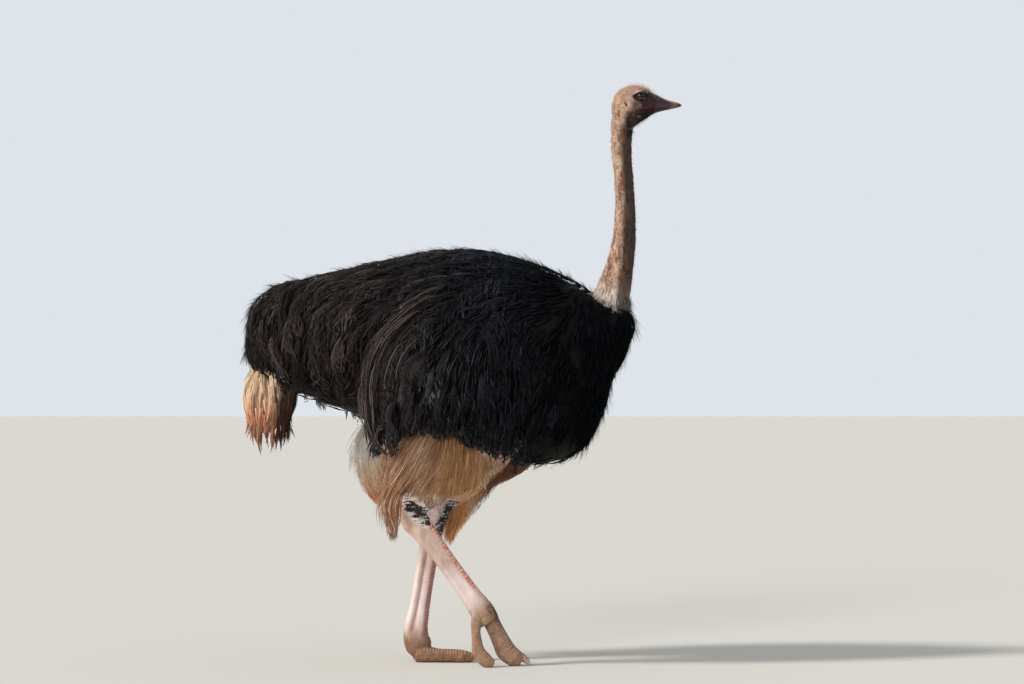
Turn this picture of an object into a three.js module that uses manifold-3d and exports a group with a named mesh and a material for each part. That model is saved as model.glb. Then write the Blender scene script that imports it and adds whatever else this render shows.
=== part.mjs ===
// A walking male ostrich, life size, as a still model.
//
// Units are millimetres. +X is the way the bird faces, +Y its left and +Z up. The floor is z = 0, and the
// origin lies on it, under the middle of the model's box. The right leg swings forward with its toes pointing
// down, and the left leg stands flat under the body.
import * as THREE from "three";
import { mergeVertices } from "three/addons/utils/BufferGeometryUtils.js";
import Module from "manifold-3d";

// ---------------------------------------------------------------------------------------------------------
// Driving dimensions
// ---------------------------------------------------------------------------------------------------------
const CROWN_HEIGHT = 2058; // floor to the top of the head
const BACK_HEIGHT = 1473; // floor to the highest feathers of the back
const BELLY_HEIGHT = 704; // floor to the lowest feathers of the belly
const RUMP_END = -768; // x of the rearmost black feathers
const BREAST_END = 616; // x of the foremost breast feathers
const BILL_TIP = 781; // x of the tip of the bill
const BODY_HALF_WIDTH = 318; // of the trunk's feathers, without the wings
const WING_MIDDLE = 315; // y of a wing's middle surface where it stands out furthest
const WING_HALF_THICKNESS = 52;
const EYE_RADIUS = 25;
const TARSUS_LENGTH = 470; // ankle to the joint above the toes
const ANKLE_HEIGHT = 541;
const GAP = 0.3; // clearance where two solids meet
const RIGHT = -1; // the sign of y on the bird's right
const LEFT = 1;

// ---------------------------------------------------------------------------------------------------------
// Looks
// ---------------------------------------------------------------------------------------------------------
const look = (color, roughness) => new THREE.MeshStandardMaterial({ color, roughness, metalness: 0 });
const HEAD_SKIN = look("#a98a78", 0.75);
const NECK_DOWN = look("#bd9c80", 0.9);
const BILL_HORN = look("#a0685a", 0.45);
const EYE_GLOSS = look("#24160f", 0.08);
const BLACK_FEATHER = look("#1f1b1c", 0.6);
const PALE_PLUME = look("#d6a57d", 0.85);
const TAIL_PLUME = look("#bd7b52", 0.85);
const THIGH_SKIN = look("#c59a7b", 0.75);
const ANKLE_SCALE = look("#6b625e", 0.6);
const TARSUS_SCALE = look("#d8ae9d", 0.55);
const TOE_SKIN = look("#a9796a", 0.7);
const CLAW_HORN = look("#a58d70", 0.5);

// ---------------------------------------------------------------------------------------------------------
// Shaping tools
// ---------------------------------------------------------------------------------------------------------
const wasm = await Module();
wasm.setup();

function solidOf(geometry) {
  geometry.deleteAttribute("normal");
  geometry.deleteAttribute("uv");
  const merged = mergeVertices(geometry, 1e-4);
  return new wasm.Manifold(
    new wasm.Mesh({
      numProp: 3,
      vertProperties: merged.getAttribute("position").array,
      triVerts: new Uint32Array(merged.index.array),
    }),
  );
}

function geometryOf(solid) {
  const mesh = solid.getMesh();
  const geometry = new THREE.BufferGeometry();
  geometry.setAttribute("position", new THREE.BufferAttribute(mesh.vertProperties, 3));
  geometry.setIndex(new THREE.BufferAttribute(mesh.triVerts, 1));
  geometry.computeVertexNormals();
  return geometry;
}

// One cross-section of a sweep. "side" is the half-width across the bird, "fore" the half-depth towards the
// sweep's forward face and "aft" the half-depth behind. On a sweep that heads down, fore is the front. On one
// that heads forward, fore is the top. On one that heads up, fore is the back.
const ring = (x, y, z, side, fore, aft = fore) => ({ at: [x, y, z], size: [side, fore, aft] });

// An upright cross-section of a sweep that heads forward, from the heights of its top and bottom.
function slice(x, top, bottom, halfWidth, widestAt = (top + bottom) / 2) {
  return ring(x, 0, widestAt, halfWidth, top - widestAt, widestAt - bottom);
}
const FORWARD = new THREE.Vector3(1, 0, 0);
const DOWN = new THREE.Vector3(0, 0, -1);

// A closed body through a list of rings, with flat ends. "square" above 2 makes its sections boxier, and
// "facing" holds every section square to one direction.
function sweep(rings, { around = 20, along = 16, square = 2, facing = null, grow = 0 } = {}) {
  const vectors = (key) => rings.map((r) => new THREE.Vector3(...r[key]));
  const path = new THREE.CatmullRomCurve3(vectors("at"));
  const sizes = new THREE.CatmullRomCurve3(vectors("size"));
  const geometry = new THREE.CylinderGeometry(1, 1, 1, around, along);
  const position = geometry.getAttribute("position");
  const power = 2 / square;
  for (let i = 0; i < position.count; i++) {
    const across = position.getX(i);
    const rise = -position.getZ(i);
    const t = position.getY(i) + 0.5;
    const tangent = facing ?? path.getTangent(t);
    const side = new THREE.Vector3(0, 1, 0).addScaledVector(tangent, -tangent.y).normalize();
    const fore = tangent.clone().cross(side);
    const size = sizes.getPoint(t);
    const depth = rise > 0 ? size.y : size.z;
    const point = path.getPoint(t);
    point.addScaledVector(side, Math.sign(across) * Math.abs(across) ** power * (size.x + grow));
    point.addScaledVector(fore, Math.sign(rise) * Math.abs(rise) ** power * (depth + grow));
    const pastEnd = t < 1e-6 ? -grow : t > 1 - 1e-6 ? grow : 0;
    point.addScaledVector(tangent, pastEnd);
    position.setXYZ(i, point.x, point.y, point.z);
  }
  return solidOf(geometry);
}

// A closed leaf, thick in its middle and thin at its rim. "outline" lists x, z points clockwise as seen from
// the bird's right, "middle" gives y from x and z, and "halfThickness" is its half-thickness at the centre.
function leaf(outline, { centre, middle, halfThickness, side, around = 28, along = 8, grow = 0 }) {
  const rim = new THREE.CatmullRomCurve3(
    outline.map(([x, z]) => new THREE.Vector3(x, 0, z)),
    true,
  );
  const heart = new THREE.Vector3(centre[0], 0, centre[1]);
  const geometry = new THREE.SphereGeometry(1, around, along);
  const position = geometry.getAttribute("position");
  const swell = 2 * grow; // a leaf's thin rim needs more room than a thick body
  for (let i = 0; i < position.count; i++) {
    const [x, y, z] = [position.getX(i), position.getY(i), position.getZ(i)];
    const turn = (Math.atan2(z, -x) / (2 * Math.PI) + 1) % 1;
    const reach = Math.hypot(x, z);
    const ray = rim.getPoint(turn).sub(heart);
    const point = heart.clone().addScaledVector(ray, reach);
    const level = side * middle(point.x, point.z);
    point.addScaledVector(ray, (reach * swell) / ray.length());
    position.setXYZ(i, point.x, level + y * (halfThickness + swell), point.z);
  }
  return solidOf(geometry);
}

function ball([x, y, z], radius, grow = 0) {
  return solidOf(new THREE.SphereGeometry(radius + grow, 14, 8).rotateX(Math.PI / 2).translate(x, y, z));
}

// A box whose upper face holds the line between two x, z points and runs right across the bird.
function block([x0, z0], [x1, z1], thickness) {
  const acrossAll = 2000;
  const length = Math.hypot(x1 - x0, z1 - z0);
  const pitch = Math.atan2(z1 - z0, x1 - x0);
  return solidOf(
    new THREE.BoxGeometry(length, acrossAll, thickness)
      .translate(length / 2, 0, -thickness / 2)
      .rotateY(-pitch)
      .translate(x0, 0, z0),
  );
}

const UNDER_FLOOR = block([-2000, 0], [2000, 0], 500);
const byVolume = (a, b) => b.volume() - a.volume();
const biggest = (solid) => solid.decompose().sort(byVolume)[0];

const ostrich = new THREE.Group();
function place(name, material, solid) {
  const mesh = new THREE.Mesh(geometryOf(solid), material);
  mesh.name = name;
  ostrich.add(mesh);
}

// Adds a piece. "shape" gives it at any growth, and each neighbour's grown shape is cut from it, with what
// would go under the floor.
function add(name, material, shape, neighbours = []) {
  let solid = shape(0).subtract(UNDER_FLOOR);
  for (const neighbour of neighbours) solid = solid.subtract(neighbour(GAP));
  place(name, material, biggest(solid));
}

// ---------------------------------------------------------------------------------------------------------
// Trunk: the outer surface of the black feathers, from the rump to the breast
// ---------------------------------------------------------------------------------------------------------
const trunkRings = [
  slice(RUMP_END, 1150, 1090, 60),
  slice(-748, 1268, 1066, 128),
  slice(-680, 1338, 990, 190),
  slice(-560, 1372, 946, 240),
  slice(-400, 1407, 884, 285),
  slice(-230, 1445, 816, 310),
  slice(-50, BACK_HEIGHT, 800, BODY_HALF_WIDTH),
  slice(100, 1467, 724, 315),
  slice(250, 1428, BELLY_HEIGHT, 296),
  slice(370, 1378, 722, 262),
  slice(455, 1330, 792, 222),
  slice(508, 1300, 905, 182),
  slice(542, 1286, 1026, 148),
  slice(580, 1270, 1086, 112),
  slice(606, 1256, 1160, 66),
  slice(BREAST_END, 1230, 1190, 24),
];
const trunk = (grow) => sweep(trunkRings, { around: 22, along: 22, square: 2.15, facing: FORWARD, grow });
add("trunk", BLACK_FEATHER, trunk);

// ---------------------------------------------------------------------------------------------------------
// Wings: folded and hanging a little, each with its tip beside the thigh
// ---------------------------------------------------------------------------------------------------------
const wingOutline = [
  [-334, 920],
  [-292, 1120],
  [-190, 1290],
  [-20, 1340],
  [170, 1262],
  [252, 1030],
  [190, 850],
  [30, 796],
  [-110, 808],
  [-196, 802],
  [-262, 716],
  [-310, 780],
];
const WIDEST_AT = 1050; // height at which the folded wing stands out furthest
function wingMiddle(x, z) {
  const above = Math.max(0, z - WIDEST_AT);
  const below = Math.max(0, WIDEST_AT - z);
  const ahead = Math.max(0, x);
  return WING_MIDDLE - 0.0009 * above ** 2 - 0.0003 * below ** 2 - 0.0006 * ahead ** 2;
}
const wing = (side) => (grow) =>
  leaf(wingOutline, {
    centre: [-110, 1000],
    middle: wingMiddle,
    halfThickness: WING_HALF_THICKNESS,
    side,
    around: 28,
    along: 6,
    grow,
  });
add("wing_right", BLACK_FEATHER, wing(RIGHT), [trunk]);
add("wing_left", BLACK_FEATHER, wing(LEFT), [trunk]);

// ---------------------------------------------------------------------------------------------------------
// Tail: a bunch of plumes that droops from the end of the rump
// ---------------------------------------------------------------------------------------------------------
const tailRings = [
  ring(-650, 0, 1110, 70, 40, 40),
  ring(-672, 0, 1040, 125, 72, 78),
  ring(-679, 0, 950, 158, 102, 104),
  ring(-684, 0, 866, 146, 74, 76),
  ring(-683, 0, 800, 104, 46, 50),
  ring(-694, 0, 762, 44, 14, 16),
];
const tail = (grow) => sweep(tailRings, { around: 16, along: 8, facing: DOWN, grow });
add("tail", TAIL_PLUME, tail, [trunk]);

// ---------------------------------------------------------------------------------------------------------
// Head, bill and eyes: one body from the nape over the crown to the bill's tip, parted by thin cuts
// ---------------------------------------------------------------------------------------------------------
const NECK_TOP = 1880; // height of the cut between head and neck
const skullRings = [
  slice(529, 1998, 1962, 10, 1984),
  slice(538, 2014, 1930, 28, 1980),
  slice(560, 2040, 1896, 40, 1982),
  slice(592, 2056, 1896, 45, 1988),
  slice(630, CROWN_HEIGHT - 4, 1916, 46, 1996),
  slice(662, 2040, 1938, 41, 1994),
  slice(690, 2021, 1955, 31, 1988),
  slice(715, 2010, 1964, 25, 1984),
  slice(742, 1999, 1970, 20, 1983),
  slice(766, 1991, 1976, 15, 1984),
  slice(776, 1988, 1979, 10, 1984),
  slice(BILL_TIP, 1986, 1982, 4, 1984),
];
const throatRings = [
  ring(568, 0, NECK_TOP - 20, 34, 41),
  ring(570, 0, 1912, 36, 42, 44),
  ring(578, 0, 1960, 38, 42, 44),
];
const EYE = [634, 30, 2013];
const eye = (side) => (grow) => ball([EYE[0], side * EYE[1], EYE[2]], EYE_RADIUS, grow);
const headAndBill = sweep(skullRings, { around: 18, along: 20, square: 2.1, facing: FORWARD })
  .add(sweep(throatRings, { around: 16, along: 3 }))
  .subtract(block([0, NECK_TOP], [1000, NECK_TOP], 300));
const BILL_BASE = [
  [705, 1780],
  [683, 2180],
];
const MOUTH = [
  [640, 1969],
  [800, 1982.5],
];
const aheadOfHead = block(BILL_BASE[0], BILL_BASE[1], 300);
const behindBill = block(BILL_BASE[1], BILL_BASE[0], 300);
const thinBillCut = block(BILL_BASE[0], BILL_BASE[1], GAP);
const underMouth = block(MOUTH[0], MOUTH[1], 300);
const thinMouthCut = block(MOUTH[0], MOUTH[1], GAP);
const bill = headAndBill.subtract(behindBill).subtract(thinBillCut);
place(
  "head",
  HEAD_SKIN,
  biggest(headAndBill.subtract(aheadOfHead).subtract(eye(RIGHT)(GAP)).subtract(eye(LEFT)(GAP))),
);
place("bill_upper", BILL_HORN, biggest(bill.subtract(underMouth)));
place("bill_lower", BILL_HORN, biggest(bill.intersect(underMouth).subtract(thinMouthCut)));
add("eye_right", EYE_GLOSS, eye(RIGHT));
add("eye_left", EYE_GLOSS, eye(LEFT));

// ---------------------------------------------------------------------------------------------------------
// Neck: three lengths, the lowest of which ends on the feathers of the breast
// ---------------------------------------------------------------------------------------------------------
const neckRings = [
  ring(569, 0, NECK_TOP + 20, 34, 42),
  ring(567, 0, 1838, 33, 40),
  ring(577, 0, 1718, 32, 36),
  ring(581, 0, 1576, 35, 41),
  ring(577, 0, 1500, 38, 45),
  ring(566, 0, 1434, 43, 50),
  ring(550, 0, 1363, 51, 60),
  ring(532, 0, 1300, 62, 70),
  ring(505, 0, 1225, 80, 84),
  ring(485, 0, 1180, 84, 88),
];
const NECK_CUTS = [1655, 1455]; // heights that part the neck into its three lengths
const aboveCut = (z) => block([1000, z], [0, z], 2000);
const belowCut = (z) => block([0, z], [1000, z], 2000);
const neck = sweep(neckRings, { around: 14, along: 18 }).subtract(aboveCut(NECK_TOP - GAP));
place("neck_upper", NECK_DOWN, neck.subtract(belowCut(NECK_CUTS[0])));
place(
  "neck_middle",
  NECK_DOWN,
  neck.subtract(aboveCut(NECK_CUTS[0] - GAP)).subtract(belowCut(NECK_CUTS[1])),
);
place(
  "neck_lower",
  NECK_DOWN,
  biggest(neck.subtract(aboveCut(NECK_CUTS[1] - GAP)).subtract(trunk(GAP))),
);

// ---------------------------------------------------------------------------------------------------------
// Legs
// ---------------------------------------------------------------------------------------------------------
const degrees = (angle) => (angle * Math.PI) / 180;

// The point "length" along a bone that leaves x, y, z pitched forward from straight down by "pitch" degrees.
function along([x, y, z], length, pitch, spread = 0) {
  return [x + length * Math.sin(degrees(pitch)), y + spread, z - length * Math.cos(degrees(pitch))];
}

// Each stance gives the ankle's place, the pitch of the bones and how far the foot lies from the ankle's y.
const stances = {
  right: { side: RIGHT, ankle: [-172, -122, ANKLE_HEIGHT], tarsusPitch: 35.6, shankPitch: -44, footSpread: 18 },
  left: {
    side: LEFT,
    ankle: [-91, 104, ANKLE_HEIGHT],
    tarsusPitch: -9.5,
    shankPitch: -46,
    footSpread: -24,
    // the joint that carries the flat foot: it swells forward over the toes
    joint: [ring(-166, 80, 84, 39, 53, 44), ring(-160, 78, 56, 37, 53, 42), ring(-155, 77, 34, 28, 42, 33)],
  },
};

// The drumstick, from inside the belly feathers down to the ankle.
function shankRings({ ankle, shankPitch, side }) {
  const up = (length, out) => along(ankle, -length, shankPitch, side * out);
  return [
    ring(...up(430, 48), 92, 128, 132),
    ring(...up(330, 46), 88, 122, 130),
    ring(...up(220, 34), 72, 88, 104),
    ring(...up(130, 18), 48, 54, 66),
    ring(...up(60, 4), 34, 40, 46),
    ring(...up(0, 0), 33, 40, 44),
  ];
}

// The knob of the ankle, flattened from side to side.
function ankleRings({ ankle, tarsusPitch }) {
  const on = (length) => along(ankle, length, tarsusPitch * 0.6);
  return [
    ring(...on(-56), 16, 18, 20),
    ring(...on(-44), 31, 36, 40),
    ring(...on(-12), 39, 48, 50),
    ring(...on(22), 38, 46, 48),
    ring(...on(50), 32, 38, 40),
    ring(...on(62), 20, 24, 26),
  ];
}

// The long scaly shank above the toes, deepest at its ends.
function tarsusRings({ ankle, tarsusPitch, footSpread, joint }) {
  const on = (share) => along(ankle, TARSUS_LENGTH * share, tarsusPitch, footSpread * share);
  return [
    ring(...on(0.02), 31, 40, 58),
    ring(...on(0.14), 31, 38, 50),
    ring(...on(0.28), 28, 35, 42),
    ring(...on(0.55), 27, 33, 38),
    ring(...on(0.78), 30, 36, 41),
    ring(...on(0.91), 39, 42, 46),
    ...(joint ?? [ring(...on(1), 38, 36, 42)]),
  ];
}

// Toes as rings from the foot joint to the nail. The right foot points down on its tips, and the left lies flat.
const RIGHT_FOOT_Y = stances.right.ankle[1] + stances.right.footSpread;
const LEFT_FOOT_Y = stances.left.ankle[1] + stances.left.footSpread;
const toes = {
  right: {
    main: [
      ring(88, RIGHT_FOOT_Y + 7, 192, 28, 32, 30),
      ring(112, RIGHT_FOOT_Y + 9, 146, 28, 30, 30),
      ring(138, RIGHT_FOOT_Y + 11, 92, 31, 33, 34),
      ring(163, RIGHT_FOOT_Y + 13, 52, 31, 34, 38),
      ring(196, RIGHT_FOOT_Y + 14, 28, 29, 29, 40),
      ring(212, RIGHT_FOOT_Y + 15, 20, 20, 22, 26),
    ],
    outer: [
      ring(60, RIGHT_FOOT_Y - 22, 180, 17, 19, 20),
      ring(53, RIGHT_FOOT_Y - 32, 140, 16, 17, 18),
      ring(55, RIGHT_FOOT_Y - 40, 95, 17, 18, 20),
      ring(66, RIGHT_FOOT_Y - 45, 50, 21, 24, 26),
      ring(92, RIGHT_FOOT_Y - 48, 22, 21, 24, 30),
      ring(116, RIGHT_FOOT_Y - 50, 12, 14, 14, 16),
    ],
    claw: [
      ring(203, RIGHT_FOOT_Y + 15, 30, 15, 17, 15),
      ring(222, RIGHT_FOOT_Y + 15, 24, 14, 13, 13),
      ring(237, RIGHT_FOOT_Y + 16, 10, 9, 8, 9),
      ring(243, RIGHT_FOOT_Y + 16, -1, 4, 3, 4),
    ],
  },
  left: {
    main: [
      ring(-164, LEFT_FOOT_Y - 6, 42, 30, 24, 46),
      ring(-130, LEFT_FOOT_Y - 8, 33, 33, 26, 40),
      ring(-85, LEFT_FOOT_Y - 10, 26, 31, 24, 32),
      ring(-35, LEFT_FOOT_Y - 13, 24, 32, 24, 32),
      ring(12, LEFT_FOOT_Y - 15, 22, 29, 21, 28),
      ring(40, LEFT_FOOT_Y - 16, 18, 20, 15, 18),
    ],
    outer: [
      ring(-158, LEFT_FOOT_Y + 22, 38, 20, 20, 40),
      ring(-125, LEFT_FOOT_Y + 46, 26, 20, 19, 30),
      ring(-85, LEFT_FOOT_Y + 62, 21, 20, 18, 26),
      ring(-50, LEFT_FOOT_Y + 70, 18, 19, 16, 22),
      ring(-32, LEFT_FOOT_Y + 73, 14, 12, 10, 12),
    ],
    claw: [
      ring(30, LEFT_FOOT_Y - 16, 22, 15, 12, 14),
      ring(52, LEFT_FOOT_Y - 17, 19, 13, 10, 13),
      ring(70, LEFT_FOOT_Y - 18, 10, 8, 6, 8),
      ring(80, LEFT_FOOT_Y - 18, 3, 4, 2, 3),
    ],
  },
};

const shank = (stance) => (grow) => sweep(shankRings(stance), { around: 16, along: 8, grow });
for (const [side, stance] of Object.entries(stances)) {
  const ankle = (grow) => sweep(ankleRings(stance), { around: 12, along: 7, square: 2.2, grow });
  const tarsus = (grow) => sweep(tarsusRings(stance), { around: 12, along: 9, square: 2.2, grow });
  const toe = (which) => (grow) => sweep(toes[side][which], { around: 12, along: 8, square: 2.3, grow });
  add(`ankle_${side}`, ANKLE_SCALE, ankle);
  add(`shank_${side}`, THIGH_SKIN, shank(stance), [ankle, trunk, wing(stance.side)]);
  add(`tarsus_${side}`, TARSUS_SCALE, tarsus, [ankle, shank(stance)]);
  add(`toe_main_${side}`, TOE_SKIN, toe("main"), [tarsus]);
  add(`toe_outer_${side}`, TOE_SKIN, toe("outer"), [tarsus, toe("main")]);
  add(`claw_${side}`, CLAW_HORN, toe("claw"), [toe("main")]);
}

// ---------------------------------------------------------------------------------------------------------
// Pale plumes: the soft ones that hang from under the wings over the thighs
// ---------------------------------------------------------------------------------------------------------
const plumeShapes = {
  plumes_right: {
    side: RIGHT,
    centre: [-200, 720],
    outline: [
      [-262, 700],
      [-230, 830],
      [-60, 850],
      [90, 790],
      [98, 704],
      [30, 625],
      [-60, 596],
      [-200, 590],
      [-214, 500],
      [-246, 450],
      [-283, 560],
    ],
  },
  plumes_left_rear: {
    side: LEFT,
    centre: [-300, 700],
    outline: [
      [-400, 740],
      [-382, 820],
      [-330, 880],
      [-240, 850],
      [-215, 700],
      [-240, 590],
      [-292, 545],
      [-356, 600],
    ],
  },
  plumes_left_front: {
    side: LEFT,
    centre: [20, 640],
    outline: [
      [-62, 575],
      [-46, 680],
      [-60, 800],
      [100, 800],
      [240, 714],
      [130, 620],
      [50, 530],
      [-18, 450],
      [-36, 412],
      [-76, 500],
    ],
  },
};
const plumeMiddle = (x, z) => 214 + 0.16 * (z - 600) - 0.0002 * (x + 120) ** 2;
for (const [name, { outline, centre, side }] of Object.entries(plumeShapes)) {
  const stance = side === RIGHT ? stances.right : stances.left;
  const plumes = (grow) =>
    leaf(outline, { centre, middle: plumeMiddle, halfThickness: 44, side, around: 20, along: 6, grow });
  add(name, PALE_PLUME, plumes, [trunk, wing(side), shank(stance)]);
}

// The origin goes to the floor under the middle of the model's box.
const bounds = new THREE.Box3().setFromObject(ostrich, true);
const middle = bounds.getCenter(new THREE.Vector3());
ostrich.position.set(-middle.x, -middle.y, 0);

const model = new THREE.Group();
model.add(ostrich);
export default model;
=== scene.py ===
# Looks of the life-size ostrich: one skin over the whole body, feathers of solid mesh, eyes, bill and claws.
# Lengths are in millimetres in the tables and functions, and turn into metres when a mesh is made.
# +X is the way the bird faces, +Y its left, +Z up, and the floor is z = 0.
import itertools
import math

import bpy
import numpy as np
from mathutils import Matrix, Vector
from mathutils.bvhtree import BVHTree


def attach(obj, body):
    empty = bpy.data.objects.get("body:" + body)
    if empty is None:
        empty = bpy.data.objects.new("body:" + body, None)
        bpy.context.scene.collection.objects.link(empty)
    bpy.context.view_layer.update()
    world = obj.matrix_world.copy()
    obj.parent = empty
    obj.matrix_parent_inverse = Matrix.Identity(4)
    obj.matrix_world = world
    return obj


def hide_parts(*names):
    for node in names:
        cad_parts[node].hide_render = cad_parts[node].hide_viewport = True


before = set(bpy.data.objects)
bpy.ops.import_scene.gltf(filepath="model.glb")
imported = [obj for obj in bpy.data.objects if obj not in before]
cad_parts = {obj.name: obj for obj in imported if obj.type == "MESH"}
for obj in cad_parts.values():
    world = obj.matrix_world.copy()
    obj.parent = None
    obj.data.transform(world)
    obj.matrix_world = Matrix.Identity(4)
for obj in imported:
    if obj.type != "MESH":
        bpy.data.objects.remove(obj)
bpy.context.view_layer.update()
MM = 0.001
UP = np.array([0.0, 0.0, 1.0])
SIDEWAYS = np.array([0.0, 1.0, 0.0])
RIGHT, LEFT = -1, 1
SIDES = {"right": RIGHT, "left": LEFT}
FORWARD = np.array([1.0, 0.0, 0.0])
TURN = 6.28  # one turn in radians, near enough for a random phase
FEWER = 1


# ---- Numbers: easing, noise, colours, splines ----
def ease(x, low, high):
    """0 below low, 1 above high and smooth between."""
    t = np.clip((np.asarray(x, float) - low) / (high - low), 0, 1)
    return t * t * (3 - 2 * t)


def fall(x, low, high):
    """1 below low, 0 above high and smooth between."""
    return ease(-np.asarray(x, float), -high, -low)


def bump_at(x, centre, width):
    return np.exp(-(((np.asarray(x, float) - centre) / width) ** 2))


def unit(v):
    return v / np.maximum(np.linalg.norm(v, axis=-1, keepdims=True), 1e-9)


def dot(a, b):
    return (a * b).sum(-1)


def hash_of(ix, iy, iz, seed):
    """A number from 0 to 1 for each cell of a grid, mixed with large odd factors."""
    h = ix.astype(np.int64) * 374761393 + iy.astype(np.int64) * 668265263 + iz.astype(np.int64) * 2147483647
    h = (h + seed * 974634777) & 0xFFFFFFFF
    h = ((h ^ (h >> 13)) * 1274126177) & 0xFFFFFFFF
    return ((h ^ (h >> 16)) & 0xFFFF) / 65535.0


def noise(p, size, seed=0):
    """Smooth value noise from -1 to 1 at points p, with lumps about size across."""
    q = np.asarray(p, float) / size
    cell = np.floor(q)
    f = q - cell
    f = f * f * (3 - 2 * f)
    total = 0.0
    for dx in (0, 1):
        for dy in (0, 1):
            for dz in (0, 1):
                weight = (
                    (f[..., 0] if dx else 1 - f[..., 0]) * (f[..., 1] if dy else 1 - f[..., 1])
                    * (f[..., 2] if dz else 1 - f[..., 2])
                )
                total = total + weight * hash_of(
                    cell[..., 0] + dx, cell[..., 1] + dy, cell[..., 2] + dz, seed
                )
    return total * 2 - 1


def rgb(r, g, b):
    """An sRGB colour, 0 to 255, as linear light."""
    c = np.array([r, g, b], float) / 255
    return np.where(c <= 0.04045, c / 12.92, ((c + 0.055) / 1.055) ** 2.4)


def mix(a, b, t):
    t = np.asarray(t, float)[..., None]
    return a * (1 - t) + b * t


def spline(knots, values, t):
    """A smooth curve through values at knots, read at t."""
    k = np.asarray(knots, float)
    v = np.asarray(values, float)
    slope = np.gradient(v, k, axis=0)
    t = np.clip(np.asarray(t, float), k[0], k[-1])
    i = np.clip(np.searchsorted(k, t, side="right") - 1, 0, len(k) - 2)
    h = k[i + 1] - k[i]
    u = (t - k[i]) / h
    if v.ndim > 1:
        h, u = h[..., None], u[..., None]
    return (
        (2 * u**3 - 3 * u**2 + 1) * v[i] + (u**3 - 2 * u**2 + u) * h * slope[i]
        + (3 * u**2 - 2 * u**3) * v[i + 1] + (u**3 - u**2) * h * slope[i + 1]
    )


def spread(points, t):
    """A smooth curve through points, read at shares t of its length."""
    p = np.asarray(points, float)
    knots = np.concatenate([[0], np.cumsum(np.linalg.norm(np.diff(p[:, :3], axis=0), axis=1))])
    return spline(knots / knots[-1], p, t)


# ---- Meshes ----
def make_object(name, verts, polys, smooth=True):
    """An object from vertices in millimetres and arrays of triangles or quads."""
    mesh = bpy.data.meshes.new(name)
    corners = np.concatenate([p.ravel() for p in polys]).astype(np.int32)
    sizes = np.concatenate([np.full(len(p), p.shape[1]) for p in polys])
    starts = np.concatenate([[0], np.cumsum(sizes)[:-1]]).astype(np.int32)
    mesh.vertices.add(len(verts))
    mesh.vertices.foreach_set("co", (np.asarray(verts) * MM).astype(np.float32).ravel())
    mesh.loops.add(len(corners))
    mesh.loops.foreach_set("vertex_index", corners)
    mesh.polygons.add(len(sizes))
    mesh.polygons.foreach_set("loop_start", starts)
    mesh.update(calc_edges=True)
    mesh.polygons.foreach_set("use_smooth", np.full(len(sizes), smooth))
    o = bpy.data.objects.new(name, mesh)
    bpy.context.scene.collection.objects.link(o)
    return o


def paint(o, colours):
    """Stores one linear colour for each vertex as the attribute Tint."""
    layer = o.data.color_attributes.new("Tint", "FLOAT_COLOR", "POINT")
    rgba = np.concatenate([np.clip(colours, 0, 1), np.ones((len(colours), 1))], axis=1)
    layer.data.foreach_set("color", rgba.astype(np.float32).ravel())


def read_array(items, name, width, kind):
    values = np.zeros(len(items) * width, kind)
    items.foreach_get(name, values)
    return values


def applied(o):
    """Takes an object away and returns its mesh with the modifiers applied: vertices, polys and edges."""
    mesh = bpy.data.meshes.new_from_object(o.evaluated_get(bpy.context.evaluated_depsgraph_get()))
    verts = read_array(mesh.vertices, "co", 3, np.float32).reshape(-1, 3).astype(float) / MM
    edges = read_array(mesh.edges, "vertices", 2, np.int32).reshape(-1, 2)
    corners = read_array(mesh.loops, "vertex_index", 1, np.int32)
    starts = read_array(mesh.polygons, "loop_start", 1, np.int32)
    sizes = np.diff(np.append(starts, len(corners)))
    polys = [corners[starts[sizes == n][:, None] + np.arange(n)] for n in (3, 4)]
    bpy.data.objects.remove(o)
    bpy.data.meshes.remove(mesh)
    return verts, [p for p in polys if len(p)], edges


def relax(verts, edges, rounds, strength=0.5, weight=None):
    """Smooths a mesh by moving each vertex towards its neighbours."""
    count = np.bincount(edges.ravel(), minlength=len(verts))[:, None]
    step = strength if weight is None else strength * weight[:, None]
    for _ in range(rounds):
        total = np.zeros_like(verts)
        for axis in range(3):
            total[:, axis] = np.bincount(edges[:, 0], verts[edges[:, 1], axis], len(verts))
            total[:, axis] += np.bincount(edges[:, 1], verts[edges[:, 0], axis], len(verts))
        verts = verts + step * (total / np.maximum(count, 1) - verts)
    return verts


def normals_of(verts, polys):
    total = np.zeros_like(verts)
    for p in polys:
        if p.shape[1] == 4:
            n = np.cross(verts[p[:, 2]] - verts[p[:, 0]], verts[p[:, 3]] - verts[p[:, 1]])
        else:
            n = np.cross(verts[p[:, 1]] - verts[p[:, 0]], verts[p[:, 2]] - verts[p[:, 0]])
        for corner in p.T:
            for axis in range(3):
                total[:, axis] += np.bincount(corner, n[:, axis], len(verts))
    return unit(total)


def weld(parts):
    """Joins (vertices, polys) parts into one, without merging anything."""
    verts, tris, quads, base = [], [], [], 0
    for v, polys in parts:
        verts.append(v)
        for p in polys:
            (tris if p.shape[1] == 3 else quads).append(p + base)
        base += len(v)
    polys = [np.concatenate(x) for x in (tris, quads) if x]
    return np.concatenate(verts), polys


def grid_faces(rows, around):
    """Quads of a tube with that many rows of that many points, and a fan of triangles on each end."""
    i = np.arange(rows - 1)[:, None] * around
    j = np.arange(around)[None, :]
    k = (j + 1) % around
    quads = np.stack([i + j, i + k, i + around + k, i + around + j], axis=-1).reshape(-1, 4)
    first, last = rows * around, rows * around + 1
    j, k = j.ravel(), k.ravel()
    low = np.stack([np.full(around, first), k, j], axis=-1)
    top = (rows - 1) * around
    high = np.stack([np.full(around, last), top + j, top + k], axis=-1)
    return [np.concatenate([low, high]), quads]


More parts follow.
